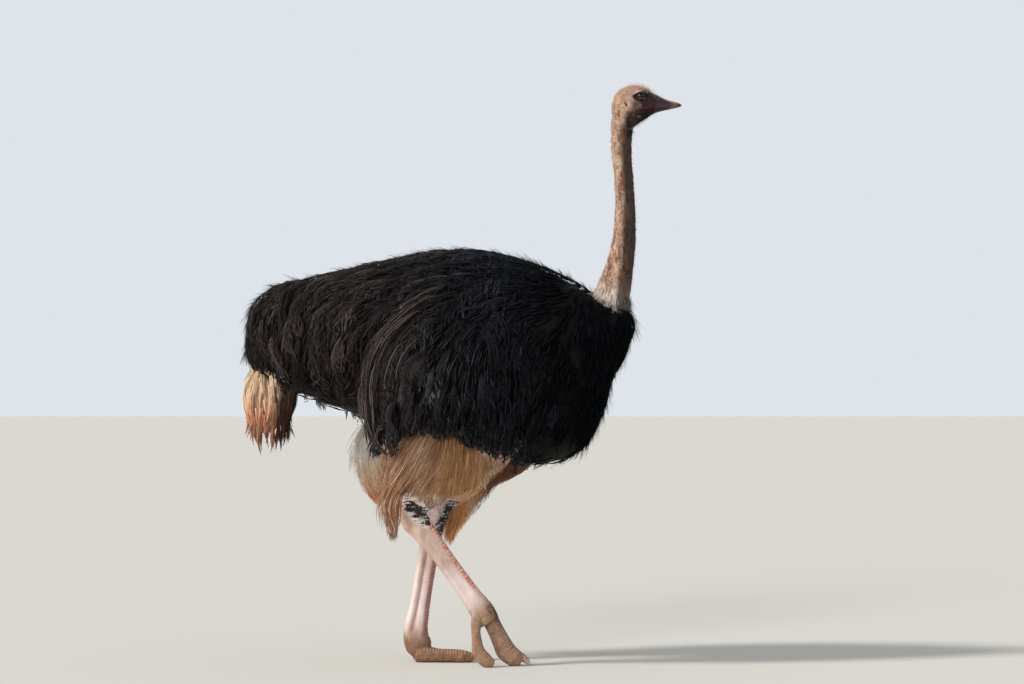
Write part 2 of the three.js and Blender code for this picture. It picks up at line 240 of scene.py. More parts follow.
def ring(x, y, z, side, fore, aft=None):
    """One section of a sweep: its centre, its half-width across the bird and its half-depths."""
    return [x, y, z, side, fore, fore if aft is None else aft]


def centred(rows):
    """Sections in the bird's middle plane."""
    return [ring(x, 0, *rest) for x, *rest in rows]


def cut(x, top, bottom, half, widest=None):
    """An upright section of a sweep that heads forward."""
    w = (top + bottom) / 2 if widest is None else widest
    return [x, 0, w, half, top - w, w - bottom]


def sweep(rings, around=48, along=60, square=2.0, facing=None):
    """A closed body through rings. Heading down, fore is the front. Heading forward, fore is the top."""
    t = np.linspace(0, 1, along)
    line = spread(rings, t)
    centre, size = line[:, :3], np.maximum(line[:, 3:6], 0.3)
    tangent = np.broadcast_to(facing, centre.shape) if facing is not None else unit(
        np.gradient(centre, axis=0)
    )
    side = unit(SIDEWAYS - tangent * tangent[:, 1:2])
    fore = np.cross(tangent, side)
    angle = 2 * math.pi * np.arange(around) / around
    power = 2 / square
    across = np.sign(np.cos(angle)) * np.abs(np.cos(angle)) ** power
    upward = np.sign(np.sin(angle)) * np.abs(np.sin(angle)) ** power
    depth = np.where(upward[None, :] > 0, size[:, 1:2], size[:, 2:3])
    verts = (
        centre[:, None] + side[:, None] * (across[None, :] * size[:, 0:1])[..., None]
        + fore[:, None] * (upward[None, :] * depth)[..., None]
    )
    verts = np.concatenate([verts.reshape(-1, 3), centre[:1], centre[-1:]])
    return verts, grid_faces(along, around)


def leaf(outline, centre, middle, half, side, around=72, along=16):
    """A closed leaf over a clockwise outline of x, z points, thick in its middle and thin at its rim."""
    loop = np.array(outline + [outline[0]], float)
    loop = np.stack([loop[:, 0], np.zeros(len(loop)), loop[:, 1]], axis=1)
    turn = np.arange(around) / around
    rim = spread(loop, turn)[:, [0, 2]]
    heart = np.array(centre, float)
    lift = np.linspace(-0.985, 0.985, along)
    reach = np.sqrt(1 - lift**2)
    xz = heart + (rim - heart)[None] * reach[:, None, None]
    y = side * middle(xz[..., 0], xz[..., 1]) + (lift * half)[:, None]
    verts = np.stack([xz[..., 0], y, xz[..., 1]], axis=-1).reshape(-1, 3)
    base = side * middle(heart[0], heart[1])
    ends = np.array([[heart[0], base - half, heart[1]], [heart[0], base + half, heart[1]]])
    faces = grid_faces(along, around)
    return np.concatenate([verts, ends]), [f[:, ::-1] for f in faces]


def fuse(parts, voxel, rounds=4):
    """The union of closed bodies as one smooth mesh of small quads: (vertices, polys, edges)."""
    verts, polys = weld(parts)
    o = make_object("fusing", verts, polys)
    change = o.modifiers.new("fuse", "REMESH")
    change.mode = "VOXEL"
    change.voxel_size = voxel * MM
    change.adaptivity = 0
    verts, polys, edges = applied(o)
    return relax(verts, edges, rounds), polys, edges


def thin(verts, polys, ratio, keep=None):
    """Fewer, larger faces, where keep (0 to 1 for each vertex) is low."""
    o = make_object("thinning", verts, polys)
    change = o.modifiers.new("thin", "DECIMATE")
    change.ratio = ratio
    if keep is not None:
        group = o.vertex_groups.new(name="loose")
        level = np.round((1 - keep) * 8) / 8
        for value in np.unique(level):
            group.add(np.flatnonzero(level == value).tolist(), float(value), "REPLACE")
        change.vertex_group = "loose"
        change.vertex_group_factor = 1.0
    return applied(o)[:2]


# ---- Body shape: the plumage's outer surface, and the flesh inside it ----
# x, top, bottom, half-width of the outer surface of the black feathers
TRUNK = [
    (-767, 1150, 1090, 60), (-748, 1268, 1066, 128), (-680, 1338, 990, 190), (-560, 1372, 946, 240),
    (-400, 1407, 884, 285), (-230, 1445, 816, 310), (-50, 1473, 800, 318), (100, 1467, 724, 315),
    (250, 1428, 704, 296), (370, 1378, 722, 262), (455, 1330, 792, 222), (508, 1300, 905, 182),
    (542, 1286, 1026, 148), (580, 1270, 1086, 112), (606, 1256, 1160, 66), (616, 1230, 1190, 24)
]
COAT_DEPTH = 14  # from the tips of the trunk's feathers in to the skin


def trunk_rings(inset):
    """The trunk's sections, drawn in on every side."""
    rings = []
    for x, top, bottom, half in TRUNK:
        pull = min(1.0, half / 120)
        rings.append(cut(
            x * (1 - inset / 900), top - inset * pull, bottom + inset * 0.7 * pull,
            max(half - inset * pull, 6)
        ))
    return rings


WING = [
    (-334, 920), (-292, 1120), (-190, 1290), (-20, 1340), (170, 1262), (252, 1030), (190, 850), (30, 796),
    (-110, 808), (-196, 802), (-262, 716), (-310, 780)
]
WING_HEART = (-110, 1000)


def wing_middle(x, z):
    """The distance of the wing's middle sheet from the bird's middle plane."""
    above = np.maximum(0, z - 1050)
    below = np.maximum(0, 1050 - z)
    ahead = np.maximum(0, x)
    return 315 - 0.0009 * above**2 - 0.0003 * below**2 - 0.0006 * ahead**2


def drawn_in(outline, heart, share):
    """An outline scaled about its heart."""
    return [(heart[0] + (x - heart[0]) * share, heart[1] + (z - heart[1]) * share) for x, z in outline]


TAIL = centred([
    (-650, 1110, 70, 40, 40), (-672, 1040, 125, 72, 78), (-679, 950, 158, 102, 104),
    (-684, 866, 146, 74, 76), (-683, 800, 104, 46, 50), (-694, 762, 44, 14, 16)
])

# The head and neck. The down stands a few millimetres off this skin, and the face is nearly bare.
SKULL = [
    cut(*row)
    for row in [
        (534, 1990, 1958, 8, 1980), (541, 2007, 1932, 24, 1978), (560, 2033, 1902, 36, 1980),
        (592, 2049, 1900, 41, 1986), (630, 2050, 1920, 43.5, 1990), (662, 2037, 1941, 39, 1989),
        (690, 2019, 1957, 29.5, 1986), (704, 2011, 1963, 25, 1984), (714, 2001, 1968, 17, 1984)
    ]
]
THROAT = centred([
    (567, 1850, 30, 37), (568, 1880, 31, 38), (570, 1912, 33, 39, 40), (578, 1956, 35, 38, 40)
])
NECK = centred([
    (568, 1900, 30, 37), (567, 1838, 29, 36), (577, 1718, 28.5, 32.5), (581, 1576, 31, 37),
    (577, 1500, 34, 41), (566, 1434, 39, 46), (550, 1363, 47, 55), (532, 1300, 57, 64), (500, 1220, 78, 82),
    (450, 1130, 100, 110)
])

EYE = np.array([634.0, 30.0, 2013.0])
EYE_RADIUS = 24.5
LID_HALF = (22.0, 13.5)  # half-length and half-height of the opening between the lids
LID_TILT = math.radians(1)


def lid_place(x, z):
    """Where a point lies on the eye's opening: along it, across it, and its share of the way to the rim."""
    dx, dz = x - EYE[0], z - EYE[2]
    along = dx * math.cos(LID_TILT) + dz * math.sin(LID_TILT)
    across = -dx * math.sin(LID_TILT) + dz * math.cos(LID_TILT)
    # the upper lid is flatter than the lower one, and hangs lower at the front
    height = np.where(across > 0, LID_HALF[1] * 0.62, LID_HALF[1])
    return along, across, np.hypot(along / LID_HALF[0], across / height)


# The legs. Each stance gives the ankle, the pitch of the bones and how far the foot lies from the ankle's y.
STANCES = {
    "right": dict(side=RIGHT, ankle=(-172, -122, 541), tarsus=35.6, shank=-44, spread=18),
    "left": dict(
        side=LEFT,
        ankle=(-91, 104, 541),
        tarsus=-9.5,
        shank=-46,
        spread=-24,
        # the joint that carries the flat foot swells forward over the toes
        joint=[
            ring(-166, 80, 84, 38, 52, 43),
            ring(-160, 78, 56, 36, 52, 41),
            ring(-155, 77, 34, 28, 42, 33),
            ring(-153, 76, 20, 18, 28, 22),
        ],
    ),
}
TARSUS_LENGTH = 470
SCUTE_PITCH = 13.5  # length of the plates down the front of the tarsus
SCUTE_SEED, TOE_SEED = 11, 21  # the same plates are shaped and then coloured


def along_bone(start, length, pitch, shift=0.0):
    """The point at that length along a bone that leaves start, pitched forward from straight down."""
    a = math.radians(pitch)
    return (start[0] + length * math.sin(a), start[1] + shift, start[2] - length * math.cos(a))


def shank_rings(s):
    """Sections of the shank, from the knee to the ankle."""
    rows = [
        (450, 40, 76, 112, 116), (330, 46, 84, 118, 125), (220, 34, 69, 85, 100), (130, 18, 46, 52, 63),
        (60, 4, 33, 38, 45), (-4, 0, 32, 38, 43)
    ]
    return [
        ring(*along_bone(s["ankle"], -length, s["shank"], s["side"] * out), *size)
        for length, out, *size in rows
    ]


def ankle_rings(s):
    """Sections of the ankle, from its top to its bottom."""
    rows = [
        (-58, 14, 16, 18), (-44, 30, 35, 39), (-12, 38, 47, 49), (22, 37, 45, 47), (50, 31, 37, 40),
        (64, 18, 22, 24)
    ]
    return [ring(*along_bone(s["ankle"], length, s["tarsus"] * 0.6), *size) for length, *size in rows]


def tarsus_rings(s):
    """Sections of the tarsus, from the ankle to the toes."""
    rows = [
        (0.0, 28, 36, 50), (0.06, 30.5, 39, 56), (0.14, 30, 37, 49), (0.28, 27, 34, 41), (0.55, 26, 32, 37),
        (0.78, 29, 35, 40), (0.91, 38, 41, 45), (1.0, 38, 36, 42)
    ]
    rings = [
        ring(*along_bone(s["ankle"], TARSUS_LENGTH * share, s["tarsus"], s["spread"] * share), *size)
        for share, *size in rows
    ]
    return rings[:-1] + s["joint"] if "joint" in s else rings


RIGHT_FOOT = STANCES["right"]["ankle"][1] + STANCES["right"]["spread"]
LEFT_FOOT = STANCES["left"]["ankle"][1] + STANCES["left"]["spread"]


def from_foot(foot, rows):
    """Sections whose place across the bird is measured from the foot's."""
    return [ring(x, foot + across, *rest) for x, across, *rest in rows]


TOES = {
    "right": {
        "main": from_foot(RIGHT_FOOT, [
            (76, 6, 214, 27, 30, 30), (88, 7, 192, 28, 32, 30), (112, 9, 146, 27.5, 29, 29),
            (138, 11, 92, 30, 32, 33), (163, 13, 52, 30, 33, 37), (196, 14, 28, 28, 28, 30),
            (214, 15, 21, 19, 21, 20)
        ]),
        "outer": from_foot(RIGHT_FOOT, [
            (60, -18, 196, 19, 21, 22), (57, -24, 170, 17, 19, 20), (53, -32, 140, 15.5, 16.5, 17.5),
            (55, -40, 95, 16.5, 17.5, 19), (66, -45, 50, 20, 23, 25), (92, -48, 23, 20, 23, 23),
            (116, -50, 14, 12, 12, 13)
        ])
    },
    "left": {
        "main": from_foot(LEFT_FOOT, [
            (-160, -6, 38, 31, 26, 38), (-130, -8, 33, 32, 26, 33), (-85, -10, 26, 30, 23, 26),
            (-35, -13, 24, 31, 23, 24), (12, -15, 22, 28, 20, 22), (42, -16, 17, 18, 13, 15)
        ]),
        "outer": from_foot(LEFT_FOOT, [
            (-160, 20, 38, 20, 20, 36), (-142, 34, 32, 20, 20, 31), (-120, 48, 25, 19.5, 18, 25),
            (-85, 62, 21, 19.5, 17.5, 21), (-50, 70, 18, 18, 15, 18), (-30, 73, 14, 11, 9, 11)
        ])
    }
}
CLAWS = {
    "right": from_foot(RIGHT_FOOT, [
        (194, 14, 34, 14, 16, 14), (212, 15, 31, 14.5, 15, 14), (226, 15, 22, 12.5, 11.5, 12),
        (237, 16, 11, 8, 7.5, 8), (243, 16, 2.5, 2.5, 2.2, 2.2)
    ]),
    "left": from_foot(LEFT_FOOT, [
        (20, -16, 24, 14, 12, 13), (38, -16, 22, 14.5, 11.5, 13), (56, -17, 18, 12, 9, 11),
        (70, -18, 11, 8, 6, 8), (80, -18, 3, 2.5, 2.2, 2.4)
    ])
}


# ---- Skin ----
def sculpt_head(v, n):
    """Eye sockets, lids, brow, ear, gape and the folds of the neck."""
    side = np.sign(v[:, 1])
    side[side == 0] = 1
    out = np.abs(v[:, 1])
    dx, dz = v[:, 0] - EYE[0], v[:, 2] - EYE[2]
    along_eye, across_eye, q = lid_place(v[:, 0], v[:, 2])
    near = (out > 14) & (q < 3.2)

    # the brow stands out over the eye, and the cheek below it falls back
    brow = bump_at(across_eye, 23, 7) * bump_at(along_eye, -2, 26)
    hollow = bump_at(across_eye, -26, 8) * bump_at(along_eye, 0, 22)
    behind = bump_at(along_eye, -38, 10) * bump_at(across_eye, -2, 16)
    lores = bump_at(along_eye, 36, 12) * bump_at(across_eye, -6, 12)
    out = out + np.where(near, 4.2 * brow - 2.4 * hollow - 2.2 * behind - 3.0 * lores, 0)

    # lids that hug the eyeball
    flat = np.hypot(dx, dz)
    lid_radius = EYE_RADIUS + 1.7
    ball = EYE[1] + np.sqrt(np.maximum(lid_radius**2 - flat**2, 0)) - np.maximum(flat - lid_radius, 0) * 2
    k = 3.0
    hug = np.maximum(out, ball) + k * 0.25 * np.maximum(1 - np.abs(out - ball) / k, 0) ** 2
    upper = ease(across_eye, -5, 5)
    # folds of the upper lid, deepest behind the eye, and a finer one below
    rear = 0.6 + 0.4 * fall(along_eye, -14, 8)
    for height, at, width in (
        (-(0.7 + 2.1 * upper * rear), 1.46, 0.07),
        (1.3 * upper, 1.62, 0.09),
        (-1.5 * upper * rear, 1.82, 0.07),
        (-0.9 * upper * rear, 2.15, 0.08),
        (-0.5 * (1 - upper), 1.75, 0.07),
        (0.8 + upper, 1.12, 0.1),  # the lid's own edge
    ):
        hug = hug + height * bump_at(q, at, width)
    out = np.where(near, hug, out)

    # the opening: its edge is snapped to an ellipse, and the skin inside it goes behind the eyeball
    inside = near & (q < 1.0)
    edge = near & (q >= 0.86) & (q < 1.1)
    pull = np.where(q >= 1.0, 1.015 / np.maximum(q, 1e-6), 0.985 / np.maximum(q, 1e-6))
    v[:, 0] = np.where(edge, EYE[0] + dx * pull, v[:, 0])
    v[:, 2] = np.where(edge, EYE[2] + dz * pull, v[:, 2])
    flat_now = np.hypot(v[:, 0] - EYE[0], v[:, 2] - EYE[2])
    deep = EYE[1] + np.sqrt(np.maximum((EYE_RADIUS - 5) ** 2 - flat_now**2, 0)) - 4
    out = np.where(inside, np.minimum(out, deep), out)

    # ear opening: a short upright slit with a soft rim
    ez = v[:, 2] - 1984
    ex = v[:, 0] - 584 + 0.42 * ez
    slit = np.hypot(ex / 3.8, ez / 9.5)
    ear_side = out > 20
    out = out + np.where(ear_side, 1.6 * bump_at(slit, 1.7, 0.5) - 7.5 * np.exp(-(slit**2) * 1.6), 0)

    # gape: a crease from the bill back to its corner under the eye, with a fleshy fold over it
    mouth = mouth_line(v[:, 0])
    mouth_on = ease(v[:, 0], 646, 660)
    dm = v[:, 2] - mouth
    out = out - 4.2 * mouth_on * bump_at(dm, 0, 1.5) + 1.5 * mouth_on * bump_at(dm, 6, 4)
    out = out - 1.2 * mouth_on * fall(dm, -5, -1)
    corner = np.hypot((v[:, 0] - 653) / 7, (v[:, 2] - 1962) / 6)
    out = out + 1.3 * bump_at(corner, 1.0, 0.45)
    # a second fold from the corner of the mouth back along the jaw
    jaw = np.interp(v[:, 0], [585, 620, 662], [1938, 1950, 1961])
    out = out - 1.3 * ease(v[:, 0], 600, 625) * fall(v[:, 0], 650, 665) * bump_at(v[:, 2], jaw, 2.4)

    wrinkle = noise(v * [1, 1, 2.2], 9, 5) * 0.7 + noise(v, 4, 6) * 0.35
    face = ease(v[:, 2], 1900, 1930)
    out = out + np.where(inside, 0, wrinkle * face * 0.6)
    v[:, 1] = side * out

    # neck: windpipe in front, a cord of muscle behind, the jugular furrow between them, and faint rings
    z = v[:, 2]
    on_neck = fall(z, 1840, 1890)
    low = fall(z, 1430, 1520) * ease(z, 1230, 1290)
    furrow = furrow_line(z)
    lateral = np.abs(n[:, 1])
    dip = -6.0 * low * bump_at(v[:, 0], furrow, 7) + 3.0 * low * bump_at(v[:, 0], furrow - 16, 9)
    dip += 2.0 * low * bump_at(v[:, 0], furrow + 18, 11)
    middle = np.interp(z, [1300, 1434, 1576, 1718, 1838, 1900], [532, 566, 581, 577, 567, 568])
    shallow = -1.8 * bump_at(v[:, 0], middle + 14, 6) * on_neck * (1 - low)
    rings = 0.5 * np.sin(z / 5.2 + 1.5 * noise(v, 40, 3)) * ease(noise(v, 70, 4), -0.2, 0.6)
    lumps = 1.1 * noise(v * [1, 1, 0.5], 16, 8) + 0.5 * noise(v, 6, 9)
    return v + n * ((dip + shallow) * lateral * on_neck + (rings + lumps) * on_neck)[:, None]


def bone_frame(s):
    """The ankle, the way down along the tarsus and the way to its front."""
    a = math.radians(s["tarsus"])
    down = unit(np.array([math.sin(a), s["spread"] / TARSUS_LENGTH, -math.cos(a)]))
    front = unit(np.cross(down, SIDEWAYS))
    return np.array(s["ankle"], float), down, front


def polyline_place(p, line):
    """How far along a line of points each p lies, and the line's point there."""
    line = np.asarray(line, float)
    lengths = np.linalg.norm(np.diff(line, axis=0), axis=1)
    best = np.full(len(p), 1e9)
    place = np.zeros(len(p))
    centre = np.zeros_like(p)
    start = 0.0
    for a, b, length in zip(line[:-1], line[1:], lengths):
        t = np.clip(((p - a) @ (b - a)) / length**2, 0, 1)
        c = a + t[:, None] * (b - a)
        d = np.linalg.norm(p - c, axis=1)
        closer = d < best
        best = np.where(closer, d, best)
        place = np.where(closer, start + t * length, place)
        centre = np.where(closer[:, None], c, centre)
        start += length
    return place, centre, best


def plate_share(place, pitch, seed):
    """How far each place lies along its own plate, from 0 to 1. The plates' lengths vary."""
    warped = place / pitch + 0.18 * noise(np.stack([place, place * 0, place * 0], -1), pitch * 2.3, seed)
    return warped - np.floor(warped)


def scute_steps(place, pitch, seed):
    """Overlapping plates along a line: each rises slowly and drops at its lower edge."""
    share = plate_share(place, pitch, seed)
    return share**1.5 - 0.45 - 1.1 * bump_at(share, 1.0, 0.09) - 0.6 * bump_at(share, 0.0, 0.06)


def toe_places(v, n, which):
    """For each toe: places along it, its length, how far v is on it and faces up, its plates' pitch."""
    for name, pitch in (("main", 10.5), ("outer", 8.5)):
        line = np.array(TOES[which][name])[:, :3]
        place, _, gap = polyline_place(v, line)
        reach = 46 if name == "main" else 32
        lengths = np.linalg.norm(np.diff(line, axis=0), axis=1)
        mine = ease(-gap, -reach, -(reach - 8))
        if which == "left":
            mine = mine * fall(v[:, 2], 52, 66)
        else:
            mine = mine * ease(place, 12, 34)
        i = np.clip(np.searchsorted(np.cumsum(lengths), place), 0, len(line) - 2)
        top = unit(np.cross(unit(line[i + 1] - line[i]), SIDEWAYS))
        yield place, lengths.sum(), mine, dot(n, top), pitch


def sculpt_leg(v, n, which):
    """Plates, pads, grooves and tendons of a leg and its toes."""
    s = STANCES[which]
    ankle, down, front = bone_frame(s)
    rel = v - ankle
    place = rel @ down
    ahead = rel @ front
    across = v[:, 1] - ankle[1] - s["spread"] * place / TARSUS_LENGTH
    angle = np.degrees(np.arctan2(np.abs(across) / 30, ahead / 38))
    end = TARSUS_LENGTH + (30 if "joint" in s else 0)
    on_tarsus = ease(place, 40, 80) * ease(-place, -(end + 8), -(end - 12))
    on_toe = np.zeros(len(v))
    move = np.zeros(len(v))

    # toes: plates across the top, soft pads below
    for toe_place, total, mine, facing, pitch in toe_places(v, n, which):
        plates = scute_steps(toe_place, pitch, TOE_SEED) * ease(facing, 0.25, 0.7)
        pads = 1.6 * np.sin(toe_place / total * 9.5) * fall(facing, -0.6, -0.1)
        first = on_toe < mine
        move = np.where(first & (mine > 0), (1.5 * plates + pads) * mine, move)
        on_toe = np.maximum(on_toe, mine)

    # tarsus: scutes in front, a groove before the tendon behind
    plates = scute_steps(place, SCUTE_PITCH, SCUTE_SEED) * fall(angle, 44, 62)
    rear = scute_steps(place, 8.5, 12) * ease(angle, 140, 158) * 0.5
    shin = (1.9 * plates + rear) * on_tarsus
    groove = (
        -5.5 if which == "left" else -1.8
    ) * bump_at(angle, 112, 15) * ease(place, 60, 130) * fall(place, 390, 450)
    cord = 1.6 * bump_at(angle, 142, 14) * ease(place, 60, 130) * fall(place, 390, 450)
    pebble = 0.35 * noise(v, 3.2, 14) + 0.6 * noise(v * [1, 1, 0.6], 14, 13)
    knob = fall(place, 40, 70) * ease(place, -75, -45)
    cobble = knob * (0.9 * np.abs(noise(v, 9, 15)) * 2 - 0.6)
    move = np.where(on_toe > 0.3, move, shin) + (groove + cord) * (1 - on_toe) + pebble + cobble
    v = v + n * move[:, None]
    # soles lie on the floor
    v[:, 2] = np.maximum(v[:, 2], 0.0)
    return v


def shade_line(z):
    """Where the painted shade down the front of the neck begins, at each height."""
    return np.interp(z, [1250, 1292, 1335, 1434, 1647, 1860], [526, 540, 551, 565, 573, 562])


def furrow_line(z):
    """Where the jugular furrow runs down the neck, at each height."""
    return np.interp(z, [1250, 1290, 1339, 1428, 1500], [492, 505, 518, 534, 560])


def neck_colour(v, n):
    """Pinkish buff: flecked with brown, pinker in the furrow, white low down."""
    x, z = v[:, 0], v[:, 2]
    base = mix(rgb(206, 176, 154), rgb(186, 154, 132), ease(noise(v * [1, 1, 0.5], 26, 30), -0.3, 0.6))
    white = ease(-z + 0.3 * (x - 520) + 10 * noise(v * [1, 1, 0.25], 12, 34), -1362, -1300)
    base = mix(base, rgb(226, 212, 198), white)
    fleck = ease(noise(v * [1, 1, 0.45], 4.6, 31) + 0.35 * noise(v, 16, 32), 0.14, 0.5)
    base = mix(base, rgb(128, 94, 76), 0.7 * fleck * (1 - 0.8 * white))
    mottle = ease(noise(v * [1, 1, 0.4], 15, 38), 0.15, 0.6) * ease(z, 1740, 1840) * fall(n[:, 0], -0.6, 0.1)
    base = mix(base, rgb(166, 112, 82), 0.7 * mottle)
    # painted shade: a dark brown line in the jugular furrow
    line = bump_at(x, furrow_line(z), 7) * fall(z, 1430, 1500) * (
        0.5 + 0.5 * ease(noise(v * [1, 1, 0.3], 14, 37), -0.4, 0.4)
    )
    base = mix(base, rgb(112, 76, 60), 0.75 * line)
    pink = bump_at(x, np.interp(z, [1250, 1428, 1700], [500, 545, 572]), 13) * fall(z, 1520, 1660)
    base = mix(base, rgb(216, 162, 142), 0.4 * pink * (1 - white))
    # painted shade: the windpipe's side, in front, is darkened to a grey brown
    return mix(base, rgb(48, 40, 36), 0.94 * ease(x - shade_line(z), -10, 12) * (1 - 0.1 * white))


def head_colour(v, n):
    """Pale crown with brown mottles, dark face and throat, partly painted shade, and pink folds round the
    dark eye.
    """
    colour = neck_colour(v, n)
    x, z = v[:, 0], v[:, 2]
    head = ease(z, 1890, 1945)
    crown = mix(rgb(196, 162, 138), rgb(150, 112, 90), 0.6 * ease(noise(v * [1, 1, 0.6], 9, 35), 0, 0.6))
    crown = mix(crown, rgb(222, 198, 180), 0.45 * ease(noise(v, 7, 36), 0.1, 0.8))
    colour = mix(colour, crown, head)
    # dark mottles down the back of the head
    mottle = ease(noise(v * [1, 1, 0.3], 9, 39), 0.12, 0.45) * fall(x, 580, 606) * fall(z, 1980, 2010)
    colour = mix(colour, rgb(114, 74, 50), 0.85 * mottle)
    # throat and jaw: greyish, darkened to near black, partly their own dark colour and partly painted shade
    border = np.interp(z, [1870, 1896, 1949, 1960, 1970, 2030], [578, 580, 577, 584, 624, 640])
    throat = ease(x - border + 4 * noise(v, 9, 40), -8, 12) * ease(z, 1850, 1890) * fall(z, 1966, 1984)
    colour = mix(colour, rgb(25, 19, 19), 0.95 * throat)
    # bare face: maroon brown skin from the eye forward, darkened further as painted shade
    face = ease(x + 0.15 * (z - 1985) + 3 * noise(v, 9, 40), 618, 642) * fall(z, 2026, 2044)
    colour = mix(colour, rgb(33, 20, 27), 0.95 * face)
    # the cheek behind and below the eye: dark grey brown, partly painted shade
    cheek = np.exp(-np.abs((x - 611) / 27) ** 3 - np.abs((z - 1978) / 25) ** 3)
    colour = mix(colour, rgb(62, 48, 43), 0.92 * cheek)
    ear = np.exp(-(((x - 590) / 15) ** 2) - ((z - 1984) / 20) ** 2)
    colour = mix(colour, rgb(232, 192, 168), 0.7 * ear)
    # painted shade: dark inside the ear's slit
    lean = x - 584 + 0.42 * (z - 1984)
    slit = np.exp(-((lean / 3.4) ** 2) - ((z - 1984) / 9) ** 2)
    colour = mix(colour, rgb(74, 42, 34), np.clip(slit * 1.2, 0, 1))
    gape = np.exp(-(((z - np.interp(x, [636, 700], [1969, 1978])) / 8) ** 2)) * ease(x, 630, 656)
    colour = mix(colour, rgb(78, 32, 42), 0.75 * gape)
    # painted shade: a dark line in the crease along the mouth
    crease = np.exp(-(((z - mouth_line(x)) / 1.6) ** 2))
    colour = mix(colour, rgb(48, 26, 27), 0.85 * crease * ease(x, 648, 658))
    along, across, q = lid_place(x, z)
    # pink folds of the upper lid, behind the eye and over it
    fold = np.interp(x, [594, 604, 616, 628, 640], [2011, 2019, 2027, 2032, 2034])
    on_fold = ease(x, 594, 602) * fall(x, 630, 642)
    for offset, shade, strength in (
        (-4.5, rgb(74, 40, 48), 0.85), (0, rgb(228, 188, 186), 0.9), (4, rgb(92, 52, 58), 0.85),
        (8.5, rgb(230, 194, 188), 0.8)
    ):
        colour = mix(colour, shade, strength * on_fold * bump_at(z, fold + offset, 2.1))
    # dark round the eye, drawn out to a point behind it and in front: partly dark skin and partly painted
    # shade of the socket and lashes
    almond = np.hypot(
        along / 36, (across + 1) / np.where(across > -1, 15.5, 17.5)
    ) + 0.25 * np.abs(along) / 36
    colour = mix(colour, rgb(38, 27, 30), 0.9 * fall(almond, 0.92, 1.12))
    return mix(colour, rgb(26, 19, 20), 0.95 * fall(q, 1.08, 1.22))


def mouth_line(x):
    """The height of the line between the two halves of the bill, run back into the face."""
    return np.interp(x, [640, 662, 690, 720], [1960, 1966.5, 1973, 1976])


def near_colour(p, fringe=1.0):
    """Smooth tan in front, hairier and pinker behind, with pale wisps at the front edge."""
    x, z = p[..., 0], p[..., 2]
    streak = noise(p * [1, 1, 0.1], 8, 81)
    smooth = mix(rgb(220, 182, 142), rgb(204, 164, 124), ease(noise(p * [1, 1, 0.2], 50, 82), -0.4, 0.6))
    smooth = mix(smooth, rgb(234, 204, 170), 0.5 * ease(streak, 0.2, 0.8))
    hairy = mix(rgb(216, 172, 142), rgb(252, 234, 214), 0.85 * ease(streak, 0.05, 0.5))
    hairy = mix(hairy, rgb(160, 112, 84), 0.75 * fall(streak, -0.6, -0.1))
    colour = mix(smooth, hairy, ease(-x + 14 * noise(p * [1, 1, 0.3], 30, 85), 50, 120))
    under = np.exp(-(((x + 215) / 26) ** 2)) * ease(z, 700, 770)
    colour = mix(colour, rgb(210, 140, 92), 0.6 * under) * np.array([0.62, 0.51, 0.42])
    colour = mix(
        colour, rgb(232, 204, 176),
        0.7 * ease(noise(p * [1, 1, 0.12], 6, 86), 0.2, 0.5) * fall(x, -110, -40)
    )
    colour = mix(
        colour, rgb(104, 70, 48), 0.6 * ease(noise(p * [1, 1, 0.12], 7, 87), 0.2, 0.6) * fall(x, -110, -30)
    )
    edge = np.interp(z, [600, 640, 690, 740], [20, 50, 104, 130])
    colour = mix(colour, rgb(206, 180, 150), fringe * 0.35 * ease(x - edge, -12, 2) * ease(streak, -0.3, 0.3))
    colour = mix(colour, rgb(176, 112, 72), 0.5 * np.exp(-(((x + 96) / 40) ** 2) - ((z - 628) / 26) ** 2))
    return mix(
        colour, rgb(240, 226, 212),
        fringe * 0.6 * fall(z, 600, 612) * ease(x, -160, -130) * fall(x, -90, -66)
    )


def rear_colour(p):
    """Cream white above and along the rear, peach below, and next to the near plumes a darker orange with
    dark streaks, partly an orange stain and partly painted shade.
    """
    x, z = p[..., 0], p[..., 2]
    streak = noise(p * [1, 1, 0.12], 8, 83)
    colour = mix(rgb(255, 253, 247), rgb(255, 214, 178), fall(z, 680, 770))
    colour = mix(colour, rgb(230, 158, 118), fall(z, 590, 690))
    # painted shade on the side next to the near plumes, over an orange stain: darker orange, with stronger
    # dark streaks
    rust_and_shade = ease(x, -312, -270) * fall(z, 720, 790)
    colour = mix(colour, rgb(222, 156, 114), 0.65 * rust_and_shade)
    colour = mix(colour, rgb(250, 230, 208), 0.6 * ease(streak, 0.05, 0.6) * ease(z, 590, 680))
    colour = mix(
        colour, rgb(164, 104, 74), 0.6 * fall(streak, -0.8, -0.12) * fall(z, 640, 760) * (0.4 + 0.6 * rust_and_shade)
    )
    edge = np.interp(z, [560, 600, 740, 820, 880], [-350, -362, -402, -386, -350])
    return mix(colour, rgb(244, 236, 226), 0.7 * fall(x - edge, 6, 22))


def front_colour(p):
    """Peach and orange-brown, with a pale ruffled edge and a darker thigh above, whose own orange brown is
    darkened further as painted shade.
    """
    x, z = p[..., 0], p[..., 2]
    streak = noise(p * [1, 1, 0.15], 9, 84)
    # painted shade: darker orange brown towards the thigh in front and above
    colour = mix(rgb(255, 184, 124), rgb(108, 70, 45), ease(x - 0.3 * (z - 600), 30, 90))
    colour = mix(colour, rgb(246, 216, 184), 0.65 * ease(streak, 0.05, 0.6) * (1 - 0.6 * ease(x, 40, 110)))
    colour = mix(colour, rgb(150, 92, 60), 0.45 * fall(streak, -0.8, -0.12))
    ruffle = np.exp(
        -(((x - np.interp(z, [540, 600, 645], [44, 16, 2])) / 9) ** 2)
    ) * fall(np.abs(z - 592), 44, 60)
    return mix(colour, rgb(250, 228, 200), 0.8 * ruffle)


